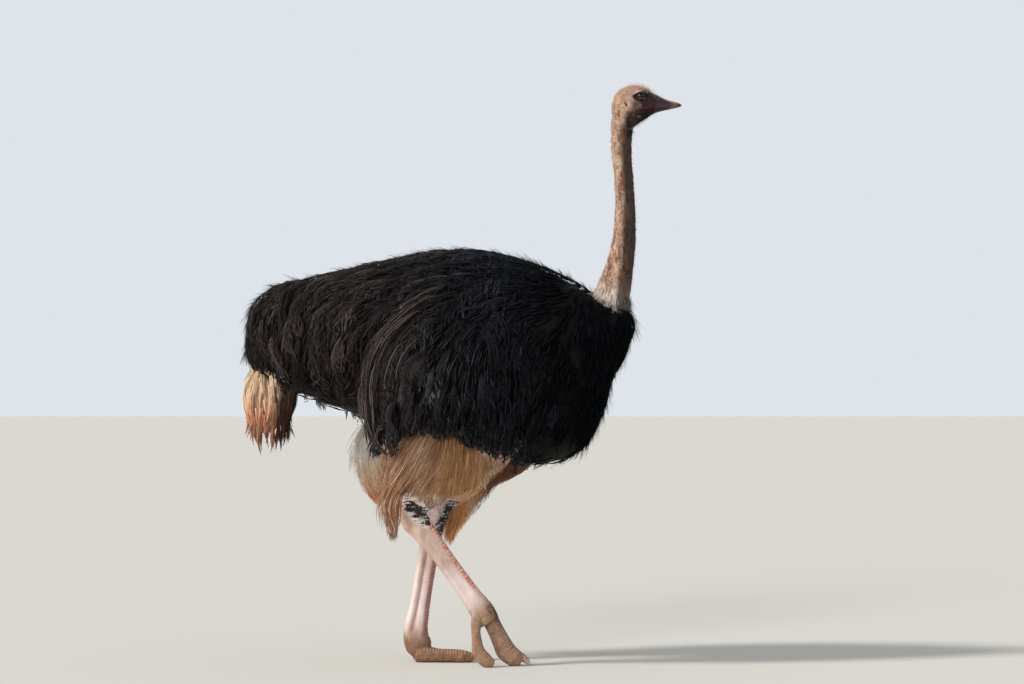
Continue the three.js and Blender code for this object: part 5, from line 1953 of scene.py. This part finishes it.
def add_edge_plumes(coat, guide, rng):
    """Smooth curved plumes down the wing's rear edge, curtains of barbs inside them, and a few pale ones."""
    count = 30 // FEWER
    t, line = runs(rng, count, (0.0, 0.6), (0.3, 0.44), 16)
    inward = (
        6 + 21 * (np.arange(count) % 2) + rng.normal(0, 3, count)
    )[:, None] * (1 - 0.55 * ease(t, 0.7, 1))
    path, normal = follow(guide, line, inward)
    add_smooth(coat, path, normal, rng.normal(21, 3, count), rng.uniform(6, 9, count), 1.75, rng)
    t, line = runs(rng, count, (0.02, 0.62), (0.2, 0.34), 12)
    inward = rng.uniform(36, 92, count)[:, None] * (1 - 0.6 * ease(t, 0.75, 1))
    path, normal = follow(guide, line, inward)
    tones = feather_colours(path[:, 6], rng, rng.normal(0.1, 0.4, count), 1.1)
    add_plumes(
        coat, path, normal, rise(STEPS, count, 14, rng.uniform(2, 10, count)), rng,
        hang=rng.uniform(34, 52, count), crimp=3.0, wavelength=21, girth=1.45, **tones
    )
    # a few pale plumes that show among the rest
    for points, copies, half, bright in WING_MARKS:
        marks = spread(np.array([(x, 0.0, z) for x, z in points]), np.linspace(0, 1, 16))
        line = np.repeat(marks[None], copies, axis=0)
        inward = (
            13.0 * np.arange(copies) + rng.normal(0, 1.5, copies)
        )[:, None] * np.linspace(0.5, 1, 16)[None]
        path, normal = follow(guide, line, inward)
        add_smooth(coat, path, normal, rng.uniform(22, 28, copies), np.full(copies, half), bright, rng, 20)


def add_wing_under(coat, guide, rng):
    """Long thin strands over the rear edge, and broad dark ones under all the plumes."""
    count = 120 // FEWER
    t, line = runs(rng, count, (0.0, 0.68), (0.16, 0.36), 12, latest=None)
    inward = (-2 + rng.exponential(18, count))[:, None] * (1 - 0.5 * ease(t, 0.75, 1))
    inward = inward + 2.5 * np.sin(16 * t + rng.uniform(0, TURN, (count, 1)))
    path, normal = follow(guide, line, inward)
    height = rng.uniform(20, 34, count)[:, None] * np.array([0.2, 0.7, *[1.0] * 9, 0.7])
    light = rng.random((count, 1)) ** 3
    tint = mix(rgb(40, 36, 37), rgb(140, 124, 116), light[:, 0])
    add_hairs(
        coat, path + normal * height[..., None], normal, 1.0, tint * 0.7, tint, rng,
        np.array([0.6, *[1.0] * 9, 0.7, 0.3])
    )
    low = guide.scatter(17 * DENSITY, lambda x, z: WING_LEAF.share(x, z) < 0.98, WING_BOX, rng)
    add_under(coat, guide, low, wing_heading, 1, rng, floor=lambda x: np.where(x < -215, 775, hem_at(x) + 14))


def dress_wing(which, side):
    rng = np.random.default_rng(21 + side)
    guide = SheetGuide(side, wing_depth)
    coat = Coat(f"wing_coat_{which}")
    add_wing_drapes(coat, guide, side, rng)
    add_hem(coat, side, rng)
    add_edge_plumes(coat, guide, rng)
    coat.finish(FEATHER, "black_feather")
    coat = Coat(f"wing_under_{which}")
    add_wing_under(coat, guide, rng)
    coat.finish(FEATHER, "black_feather")


dress_body()
for which, side in SIDES.items():
    dress_wing(which, side)


def add_core(coat, verts, polys, colours):
    """A closed inner form that gives a plume its body."""
    tris = np.concatenate([
        p if p.shape[1] == 3 else np.concatenate([p[:, :3], p[:, [0, 2, 3]]]) for p in polys
    ])
    coat.verts.append(verts)
    coat.tris.append(tris + coat.base)
    coat.tints.append(colours)
    coat.uvs.append(unwrap(verts))
    coat.base += len(verts)


# ---- Tail ----
def tail_colour(p):
    """Cream and peach at the rear, reddish brown below, and dark brown on the side next to the body as
    painted shade.
    """
    x, z = p[..., 0], p[..., 2]
    base = mix(rgb(255, 218, 184), rgb(214, 148, 112), fall(z, 860, 960))
    base = mix(base, rgb(176, 114, 84), fall(z, 780, 860))
    # painted shade on the side next to the body
    dark = ease(x + 0.12 * (930 - z), -664, -630)
    return mix(base, rgb(58, 37, 27), 0.93 * dark)


def add_locks(coat, line, width, strands, rng, tint, dark, stations=5, girth=0.85, wave=2.6):
    """Tapering locks: line (L, K, 3) is each one's middle, width (L) its half-width, tint and dark (L, K, 3)
    the colours of its outer strands and of the shaded ones."""
    count = len(line)
    t = np.linspace(0, 1, stations)
    run = unit(np.gradient(line, axis=1))
    side = unit(np.cross(run, np.array([0.3, 0.2, 0.1]) + 0 * run))
    other = np.cross(run, side)
    turn = rng.uniform(0, TURN, (count, strands, 1))
    far = np.sqrt(rng.random((count, strands, 1)))
    shape = np.interp(t, [0, 0.35, 0.75, 1], [0.75, 1.0, 0.6, 0.08])[None, None]
    bend = rng.uniform(0, TURN, (count, strands, 1)) * 0.25 + rng.uniform(0, TURN, (count, 1, 1))
    reach = far * shape * width[:, None, None]
    sway = wave * np.sin(bend + TURN * t * rng.uniform(1.0, 2.0, (count, 1, 1))) * np.minimum(3 * t, 1)
    read = lambda a: read_path(a, np.broadcast_to(t, (count, stations)))[:, None]
    end = rng.uniform(0.8, 1.0, (count, strands, 1))
    mids = read_path(line, (t * end).reshape(count, strands * stations)).reshape(count, strands, stations, 3)
    centre = mids + read(side) * (
        np.cos(turn) * reach + sway
    )[..., None] + read(other) * (np.sin(turn) * reach)[..., None]
    up = np.broadcast_to(
        read(side) * np.cos(turn)[..., None] + read(other) * np.sin(turn)[..., None], centre.shape
    )
    tone = read(dark) + (read(tint) - read(dark)) * far[..., None] ** 0.7
    tone = tone * rng.uniform(0.8, 1.2, (count, strands, 1, 1)) * np.ones((1, 1, stations, 1))
    n = count * strands
    taper = np.interp(t, [0, 0.4, 0.8, 1], [0.8, 1, 0.7, 0.25])
    width = girth * rng.uniform(0.8, 1.25, (n, 1)) * taper
    coat.add(
        centre.reshape(n, stations, 3), unit(up).reshape(n, stations, 3), width, width * 0.8,
        np.clip(tone, 0, 1).reshape(n, stations, 3), np.repeat(unwrap(line[:, 0]), strands, axis=0)
    )


def dress_tail():
    """Tapering locks that hang from under the rump, the lower ones ragged and apart."""
    rng = np.random.default_rng(31)
    coat = Coat("tail_coat")
    inner = [ring(r[0], r[1], r[2], r[3] * 0.7, r[4] * 0.62, r[5] * 0.62) for r in TAIL[:-2]]
    inner.append(ring(-690, 0, 822, 60, 22, 24))
    core = sweep(inner, 40, 40, 2.0, np.array([0, 0, -1.0]))
    # painted shade: the inner form, seen between the locks, at less than half their colour
    add_core(coat, *core, tail_colour(core[0]) * 0.45)
    outer = [ring(r[0], r[1], r[2], r[3] * 0.9, r[4] * 0.88, r[5] * 0.88) for r in TAIL]
    guide = MeshGuide(*sweep(outer, 48, 60, 2.0, np.array([0, 0, -1.0])))
    roots = guide.scatter(24 * DENSITY, lambda p: (p[:, 2] > 850) & (p[:, 2] < 1090), rng)
    on = guide.settle(roots)[0]
    count, knots = len(on), 9
    # how low a lock may reach: two groups of tips at the bottom, and higher ones to either side
    floor_at = np.interp(
        on[:, 0], [-770, -745, -722, -700, -680, -662, -640, -600, -570],
        [868, 815, 770, 758, 782, 764, 792, 830, 872]
    )
    floor_at = floor_at - 46 + 16 * (np.abs(on[:, 1]) / 110) ** 2
    end = np.maximum(on[:, 2] - rng.uniform(90, 190, count), floor_at + rng.exponential(15, count))
    low = fall(on[:, 2], 860, 930)
    end = np.where(on[:, 2] - end < 40, on[:, 2] - 40, end)
    t = np.linspace(0, 1, knots)[None, :, None]
    tip = on.copy()
    tip[:, 2] = end
    tip[:, 0] += rng.normal(0, 11, count) + (-692 - on[:, 0]) * 0.22 * fall(end, 780, 860)
    tip[:, 1] *= 1 - 0.35 * fall(end, 780, 900)
    line = on[:, None] * (1 - t) + tip[:, None] * t
    along, m = guide.settle(line.reshape(-1, 3))
    keep = (ease(line[..., 2], 800, 860))[..., None]
    line = line * (1 - keep) + along.reshape(count, knots, 3) * keep
    m = m.reshape(count, knots, 3)
    stand = rng.uniform(-4, 10, count)[:, None] * np.linspace(0.4, 1, knots)[None]
    line = line + m * stand[..., None]
    line[..., 0] += 5 * np.sin(
        np.linspace(0, 5, knots)[None] + rng.uniform(0, TURN, (count, 1))
    ) * np.linspace(0, 1, knots)
    tint = tail_colour(line) * np.exp(rng.normal(-0.03, 0.24, (count, 1, 1)))
    pale = (rng.random(count) < 0.35)[:, None, None] * ease(t, 0.3, 1) * (1 - low[:, None, None] * 0.5)
    tint = tint + (rgb(244, 216, 190) - tint) * 0.45 * pale * fall(line[..., :1], -670, -640)
    dark = tint * np.array([0.3, 0.2, 0.16])
    add_locks(coat, line, rng.uniform(6, 10, count) * (1 - 0.3 * low), 21, rng, tint, dark)
    coat.finish(PLUME, "tail_plume")


# ---- Pale plumes over the thighs ----
def plume_middle(x, z):
    """The distance of the pale plumes' middle sheet from the bird's middle plane."""
    return 214 + 0.16 * (z - 600) - 0.0002 * (x + 120) ** 2 - 0.0013 * np.maximum(0, x - 60) ** 2


PLUME_HALF = 44


def near_heading(p, n):
    """A fan: steep in front and slanting back at the rear, down to a tip."""
    x, z = p[:, 0], p[:, 2]
    pitch = 84 - 26 * fall(x, -130, -20) * ease(z, 560, 660)
    pitch = pitch + 26 * fall(x, -250, -190) * fall(z, 520, 640)
    return toward(pitch)


def rear_heading(p, n):
    """Strands that bow back from under the wing and curl in to a tip."""
    z = p[:, 2]
    return toward(np.interp(z, [560, 640, 740, 840, 880], [128, 116, 92, 66, 55]))


def front_heading(p, n):
    x = p[:, 0]
    return toward(76 - 28 * ease(x, 10, 120))


PLUMES = {
    "skirt_right": dict(
        side=RIGHT, heart=(-200, 720),
        outline=[
            (-262, 700), (-230, 830), (-60, 850), (80, 800), (140, 740), (112, 692), (30, 625), (-60, 596),
            (-200, 590), (-214, 500), (-246, 450), (-283, 560)
        ],
        heading=near_heading, colour=near_colour, box=(-290, 440, 150, 860),
        floor=([-290, -262, -245, -205, -195, 20, 60, 100, 140], [
            570, 458, 450, 530, 600, 618, 640, 680, 730
        ])
    ),
    "skirt_left_rear": dict(
        side=LEFT, heart=(-300, 700),
        outline=[
            (-400, 740), (-382, 820), (-330, 880), (-240, 850), (-215, 700), (-240, 590), (-292, 545),
            (-356, 600)
        ],
        heading=rear_heading, colour=rear_colour, box=(-405, 560, -212, 880), core=0.93, spacing=4.9,
        floor=([-400, -356, -292, -240, -215], [720, 600, 548, 590, 690])
    ),
    "skirt_left_front": dict(
        side=LEFT, heart=(20, 640),
        outline=[
            (-62, 575), (-46, 680), (-60, 800), (100, 800), (240, 714), (130, 620), (50, 530), (-18, 450),
            (-36, 412), (-76, 500)
        ],
        heading=front_heading, colour=front_colour, box=(-80, 440, 245, 810),
        floor=([-76, -36, -10, 50, 130, 240], [500, 412, 450, 530, 620, 706])
    )
}


def dress_plumes(name, spec, seed):
    rng = np.random.default_rng(seed)
    coat = Coat(name)
    shape = Leaf(spec["outline"], spec["heart"])

    def depth(x, z):
        share = shape.share(x, z)
        return plume_middle(x, z) + (PLUME_HALF - 4) * np.sqrt(np.clip(
            1 - share**2, 0, 1
        )) - 40 * np.maximum(share - 1, 0)

    core = leaf(
        drawn_in(spec["outline"], spec["heart"], spec.get("core", 0.84)), spec["heart"], plume_middle, 30,
        spec["side"], 90, 20
    )
    add_core(coat, *core, spec["colour"](core[0]) * 0.92)
    # strands over the outer face and the inner one
    dense = 1.0 if spec["side"] == RIGHT else -1.0
    for face in (1.0, -1.0):
        spacing = spec.get("spacing", 5.8) if face == dense else 8.8
        guide = SheetGuide(
            spec["side"], depth if face > 0 else (lambda x, z: 2 * plume_middle(x, z) - depth(x, z))
        )
        roots = guide.scatter(spacing * DENSITY, lambda x, z: shape.share(x, z) < 0.98, spec["box"], rng)
        count = len(roots)
        room = roots[:, 2] - np.interp(roots[:, 0], *spec["floor"])
        length = np.clip(rng.uniform(80, 165, count), 16, np.maximum(room + rng.uniform(2, 20, count), 16))
        lean = 0.5 * noise(roots * [1, 1, 0.5], 34, 95)
        path, normal = paths_over(
            guide, roots, spec["heading"], length, rng.normal(0, 0.1, count) + lean, steps=6
        )
        normal = normal * face
        stand = noise(roots * [1, 1, 0.35], 16, 96)
        offsets = rise(
            6, count, rng.uniform(4, 13, count), rng.normal(1, 1.5, count) + 4 * stand,
            rng.normal(0, 3, count), 1.5
        )
        spine = path + normal * offsets[..., None]
        spine = spine + np.cross(normal, unit(np.gradient(path, axis=1))) * (
            1.3 * np.sin(np.linspace(0, 4.4, 7)[None] + rng.uniform(0, TURN, (count, 1)))
        )[..., None]
        tint = spec["colour"](path[:, 3]) * np.exp(rng.normal(-0.03, 0.24, (
            count, 1
        ))) * (1 + 0.2 * stand)[:, None]
        add_hairs(
            coat, spine, normal, 0.95, tint * 0.9, tint * 1.08, rng,
            np.array([0.7, 1, 1, 0.9, 0.7, 0.5, 0.2])
        )
    if name == "skirt_right":
        # spiky pale hairs down its front edge, and short ones along its lower edge
        for (x0, z0), (x1, z1), count, lean in (
            ((138, 735), (60, 648), 200, 0.45), ((-70, 616), (-150, 612), 110, 0.0)
        ):
            at = rng.random((count, 1))
            root = np.array([[x0, 0, z0]]) * (1 - at) + np.array([[x1, 0, z1]]) * at + rng.normal(
                0, 6, (count, 3)
            ) * [1, 0, 1]
            root[:, 1] = spec["side"] * (plume_middle(root[:, 0], root[:, 2]) + rng.uniform(-14, 22, count))
            aim = unit(np.array([lean, 0, -1.0]) + rng.normal(0, 0.28, (count, 3)))
            t = np.linspace(0, 1, 5)[None, :, None]
            long = rng.uniform(16, 38, count)[:, None, None]
            centre = root[:, None] + aim[:, None] * t * long + np.array([-0.3, 0, 0]) * (t**2) * long
            tint = mix(rgb(186, 146, 104), rgb(244, 224, 196), rng.random(count) ** 1.5)
            add_hairs(
                coat, centre, np.tile([0, spec["side"], 0.0], (count, 5, 1)), 0.8, tint * 0.85, tint, rng
            )
    coat.finish(PLUME, "pale_plume")


# ---- Down of the neck and head ----
def dress_neck(verts, normals, polys):
    """Down in small pale tufts over the neck and head, and bristles on the crown and throat."""
    rng = np.random.default_rng(41)
    x, y, z = verts.T
    on_eye = np.hypot((x - EYE[0]) / 30, (z - EYE[2]) / 26) < 1
    bare = (x > 650 + 0.35 * (1990 - z)) & (z > 1900)
    bare |= (np.hypot(x - 583, z - 1985) < 9) & (np.abs(y) > 15)
    area = np.zeros(len(verts))
    for p in polys:
        face = np.linalg.norm(
            np.cross(verts[p[:, 1]] - verts[p[:, 0]], verts[p[:, 2]] - verts[p[:, 0]]), axis=1
        )
        for k in range(p.shape[1]):
            area += np.bincount(p[:, k], face, len(verts))

    def lie_at(p, n):
        head = ease(p[:, 2], 1885, 1960)[:, None]
        lie = np.array([0.05, 0, -1.0]) * (1 - head) + np.array([-0.72, 0, -0.45]) * head
        return unit(lie - n * dot(lie, n)[:, None])

    def plant(
        coat, mask, count, length, lean, girth, each=1, gap=0.0, stations=3, bright=1.0, spread_by=0.2,
        shades=None
    ):
        """Plants count tufts of so many hairs each, whose tips draw together."""
        count = int(count * (1.0))
        spots = np.flatnonzero(mask)
        pick = rng.choice(spots, count, p=area[spots] / area[spots].sum())
        p, n = verts[pick], normals[pick]
        lie = lie_at(p, n)
        sideways = np.cross(n, lie)
        grown = head_colour(p, n) if shades is None else mix(
            np.tile(shades[0], (count, 1)), shades[1], rng.random(count)
        )
        direction = unit(lie * math.cos(lean) + n * math.sin(lean) + rng.normal(0, spread_by, (count, 3)))
        long = rng.uniform(*length, count)
        tone = grown * np.exp(rng.normal(0, 0.2, (count, 1))) * bright
        t = np.linspace(0, 1, stations)[None, :, None]
        for k in range(each):
            off = (k + 0.5) / each - 0.5
            root = p + sideways * off * gap + lie * rng.uniform(-1, 1, (count, 1)) + rng.normal(
                0, 0.3, (count, 3)
            )
            pull = (-sideways * off * gap * 0.6)[:, None] * t
            mine = direction + rng.normal(0, 0.06, (count, 3))
            reach = (long * rng.uniform(0.8, 1.1, count))[:, None, None]
            centre = root[:, None] + mine[:, None] * t * reach + lie[:, None] * (t**2) * reach * 0.3 + pull
            centre = centre - n[:, None] * 0.6 * (1 - t)
            up = np.repeat(n[:, None], stations, axis=1)
            shade = tone * rng.uniform(0.88, 1.12, (count, 1))
            add_hairs(coat, centre, up, girth, np.clip(shade * 0.8, 0, 1), np.clip(shade * 1.15, 0, 1), rng)

    pale = (rgb(226, 202, 184), rgb(200, 168, 146))
    white = (rgb(238, 228, 216), rgb(212, 190, 170))
    brown = (rgb(132, 98, 80), rgb(104, 76, 62))
    coat = Coat("neck_coat")
    lit = x < shade_line(z) + 4
    column = (z < 1915) & (z > 1330)
    rim = 1338 - 0.5 * (x - 520)  # the upper edge of the white at the neck's foot
    foot = (z < rim) & (z > 1225)
    plant(coat, column, 1700, (5, 9), 0.34, 0.6, 3, 3.4)
    # painted light: pale tufts grow only on the lit side of the neck
    plant(coat, column & lit, 750, (6, 10), 0.34, 0.5, 3, 3.0, shades=pale)
    plant(coat, column & lit & (x > 548 - 0.1 * (1650 - z)), 620, (5, 8), 0.34, 0.5, 2, 1.6, shades=brown)
    plant(coat, (z < 1900) & (z > 1320), 1120, (11, 20), 0.85, 0.25)
    # at the neck's foot: white tufts only on the lit side, and dark ones on the front as painted shade
    plant(coat, foot & lit, 380, (12, 22), 0.32, 0.7, 4, 4.4, shades=white)
    plant(coat, foot & ~lit, 150, (12, 22), 0.32, 0.6, 4, 4.4, shades=(rgb(84, 74, 68), rgb(56, 49, 46)))
    plant(coat, (z < rim + 50) & (z > rim - 20) & lit, 120, (9, 15), 0.32, 0.55, 3, 3.0, shades=white)
    # black plumes' tips stand up behind the foot of the neck
    plant(
        coat, (z < 1318) & (z > 1240) & (x < 520), 70, (22, 34), 0.7, 1.0, 3, 5.0, stations=4,
        shades=(rgb(22, 20, 22), rgb(40, 37, 40))
    )
    coat.finish(DOWN, "neck_down")
    coat = Coat("head_coat")
    plant(coat, (z >= 1905) & ~bare & ~on_eye, 4300, (3.5, 7), 0.4, 0.46)
    plant(coat, (z > 2015) & (x < 672) & ~on_eye, 900, (7, 13), 1.0, 0.26, stations=4, bright=1.15)
    plant(
        coat, (z > 2030) & (x > 590) & (x < 668), 420, (15, 27), 1.15, 0.22, stations=4, spread_by=0.3,
        shades=pale
    )
    # the throat's bristles are darker, as painted shade
    plant(
        coat, (z < 1960) & (z > 1880) & (x > 590), 520, (9, 18), 1.1, 0.2, stations=4, bright=0.62,
        spread_by=0.3
    )
    plant(
        coat, (x > 640) & (x < 716) & (normals[:, 2] > 0.45) & (z > 1985), 480, (14, 28), 1.0, 0.2,
        stations=4, spread_by=0.3, shades=pale
    )
    plant(
        coat, (x < 640) & (z > 1900) & ~on_eye & ~bare, 700, (8, 14), 0.8, 0.24, spread_by=0.25, shades=pale
    )
    dress_lashes(coat, rng)
    coat.finish(DOWN, "head_skin")


def dress_lashes(coat, rng):
    """Long dark lashes on the upper lids."""
    for side in (RIGHT, LEFT):
        count = 30
        angle = np.radians(np.linspace(18, 172, count) + rng.normal(0, 2, count))
        ex, ez = LID_HALF[0] * np.cos(angle) * 1.05, LID_HALF[1] * 0.62 * np.sin(angle) * 1.05
        px = EYE[0] + ex * math.cos(LID_TILT) - ez * math.sin(LID_TILT)
        pz = EYE[2] + ex * math.sin(LID_TILT) + ez * math.cos(LID_TILT)
        flat = np.hypot(px - EYE[0], pz - EYE[2])
        py = side * (EYE[1] + np.sqrt(np.maximum((EYE_RADIUS + 1.9) ** 2 - flat**2, 0)) - 0.5)
        root = np.stack([px, py, pz], axis=1)
        out = unit(np.stack([np.cos(angle) * 0.5, np.full(count, side * 1.0), np.full(count, -0.1)], axis=1))
        t = np.linspace(0, 1, 4)[None, :, None]
        long = rng.uniform(8, 12, count)[:, None, None]
        centre = root[:, None] + out[:, None] * t * long + np.array([0, 0, 1.0]) * (
            t**2 * 0.35 - t * 0.1
        ) * long
        dark = np.tile(rgb(26, 21, 22), (count, 1))
        up = np.repeat(np.array([[[0, 0, 1.0]]]), count, axis=0).repeat(4, axis=1)
        add_hairs(coat, centre, up, 0.42, dark, dark, rng)


def dress_collar():
    """White tufts in a ragged ring round the foot of the neck, over the black."""
    rng = np.random.default_rng(51)
    guide = MeshGuide(*sweep([ring(r[0] , 0, r[2], r[3] + 7, r[4] + 7, r[5] + 7) for r in NECK], 60, 160))

    def near(p):
        line = np.interp(p[:, 0], [435, 505, 560, 600], [1322, 1306, 1292, 1284])
        return (p[:, 2] < line + 26) & (p[:, 2] > line - 26)

    roots = guide.scatter(8.5 * DENSITY, near, rng)
    on = guide.settle(roots)[0]
    count = len(on)
    path, normal = paths_over(
        guide, roots, lambda p, m: np.tile(-UP, (len(p), 1)), rng.uniform(26, 46, count),
        rng.normal(0, 0.2, count), steps=6
    )
    offsets = rise(6, count, 5, 2, rng.uniform(2, 12, count), power=1.5)
    tint = mix(rgb(236, 226, 214), rgb(196, 170, 148), ease(rng.random(count), 0.4, 1.2))
    # painted shade: the collar's tufts darken towards the front of the neck
    tint = mix(tint, rgb(78, 68, 63), 0.85 * ease(on[:, 0] - shade_line(on[:, 2]), -6, 16))
    coat = Coat("collar_coat")
    add_feathers(
        coat, path, normal, offsets, rng, half=rng.uniform(4, 8, count), barbs=5, run=0.6, droop=0.05,
        camber=1.5, crimp=0.8, rough=1.0, girth=0.8, shaft=0.5, root=tint * 0.8, tip=tint
    )
    coat.finish(DOWN, "neck_down")


def dress_thigh(which):
    """Short soft plumes along the thigh, under the long ones."""
    rng = np.random.default_rng(71 if which == "right" else 72)
    s = STANCES[which]
    rings = [ring(r[0], r[1], r[2], r[3] + 1, r[4] + 1, r[5] + 1) for r in shank_rings(s)[:5]]
    guide = MeshGuide(*sweep(rings, 44, 60))
    bone = np.array(along_bone((0, 0, 0), 1, s["shank"]))
    low = along_bone(s["ankle"], -52, s["shank"])
    above = lambda p: (p - low) @ bone < -6
    roots = guide.scatter(9.2 * DENSITY, lambda p: above(p) & (p[:, 2] < 830), rng)
    count = len(roots)
    length = rng.uniform(36, 64, count)
    drop = unit(bone * 0.75 - UP * 0.4)
    path, normal = paths_over(
        guide, roots, lambda p, n: np.tile(drop, (len(p), 1)), length, rng.normal(0, 0.16, count), steps=5
    )
    stand = noise(roots * [1, 1, 0.5], 20, 97)
    offsets = rise(5, count, 3, rng.normal(1, 1.0, count) + 2.5 * stand, rng.normal(3, 3, count), 1.5)
    colour = (lambda p: near_colour(p, 0)) if which == "right" else front_colour
    tint = colour(path[:, 3]) * rng.uniform(0.9, 1.1, (count, 1)) * (1 + 0.14 * stand)[:, None]
    coat = Coat(f"thigh_{which}")
    add_hairs(
        coat, path + normal * offsets[..., None], normal, 1.1, tint * 0.86, tint * 1.06, rng,
        np.array([0.8, 1, 0.9, 0.7, 0.5, 0.2])
    )
    coat.finish(PLUME, "pale_plume")


dress_tail()
for which in SIDES:
    dress_thigh(which)
for seed, (name, spec) in enumerate(PLUMES.items()):
    dress_plumes(name, spec, 61 + seed)
dress_collar()
dress_neck(*HEAD_SHELL)

# ---- Studio ----
def build_studio():
    corners = np.array([[-3e4, -2e4, 0], [3e4, -2e4, 0], [3e4, 4e4, 0], [-3e4, 4e4, 0]])
    floor = make_object("floor", corners, [np.array([[0, 1, 2, 3]])], False)
    looks = {"Base Color": (*rgb(214, 212, 206), 1), "Roughness": 0.95, "Specular IOR Level": 0.1}
    floor.data.materials.append(new_material("floor", looks)[0])

    world = bpy.data.worlds.new("studio")
    bpy.context.scene.world = world
    world.use_nodes = True
    tree = world.node_tree
    light = plug(tree, tree.nodes["Background"], {"Color": (0.93, 0.96, 1.0, 1), "Strength": 0.42})
    # the camera, mirrors and glass see a plain backdrop
    seen = add_node(tree, "Background", {"Color": (*rgb(222, 228, 234), 1)})
    rays = add_node(tree, "LightPath").outputs
    either = add_node(tree, "Math", operation="MAXIMUM")
    sockets = {0: rays["Is Glossy Ray"], 1: rays["Is Transmission Ray"]}
    both = add_node(tree, "Math", sockets, operation="MAXIMUM")
    plug(tree, either, {0: rays["Is Camera Ray"], 1: both.outputs[0]})
    pick = add_node(tree, "MixShader", {0: either.outputs[0], 1: light.outputs[0], 2: seen.outputs[0]})
    plug(tree, tree.nodes["World Output"], {"Surface": pick.outputs[0]})

    def light_up(name, kind, place, heading, energy, colour):
        data = bpy.data.lights.new(name, kind)
        data.energy = energy
        data.color = colour
        o = bpy.data.objects.new(name, data)
        o.location = place
        o.rotation_euler = Vector(heading).to_track_quat("-Z", "Y").to_euler()
        bpy.context.scene.collection.objects.link(o)
        return data

    light_up("key", "SUN", (0, 0, 0), (0.74, 0.29, -0.61), 2.7, (1.0, 0.97, 0.92)).angle = 0.16
    light_up("front", "SUN", (0, 0, 0), (0.34, 0.89, -0.3), 1.25, (1.0, 0.98, 0.95)).angle = 0.32
    light_up("fill", "AREA", (3.5, -7.5, 3.0), (-3.5, 7.5, -2.0), 25, (0.95, 0.97, 1.0)).size = 4.0

    data = bpy.data.cameras.new("camera")
    data.sensor_width = 36
    data.lens = 138.6
    data.clip_end = 200
    camera = bpy.data.objects.new("camera", data)
    camera.location = (0.179, -14.0, 1.186)
    target = Vector((0.179, 0, 1.143))
    camera.rotation_euler = (target - camera.location).to_track_quat("-Z", "Y").to_euler()
    bpy.context.scene.collection.objects.link(camera)
    bpy.context.scene.camera = camera


build_studio()
bpy.context.scene.view_settings.view_transform = "Standard"
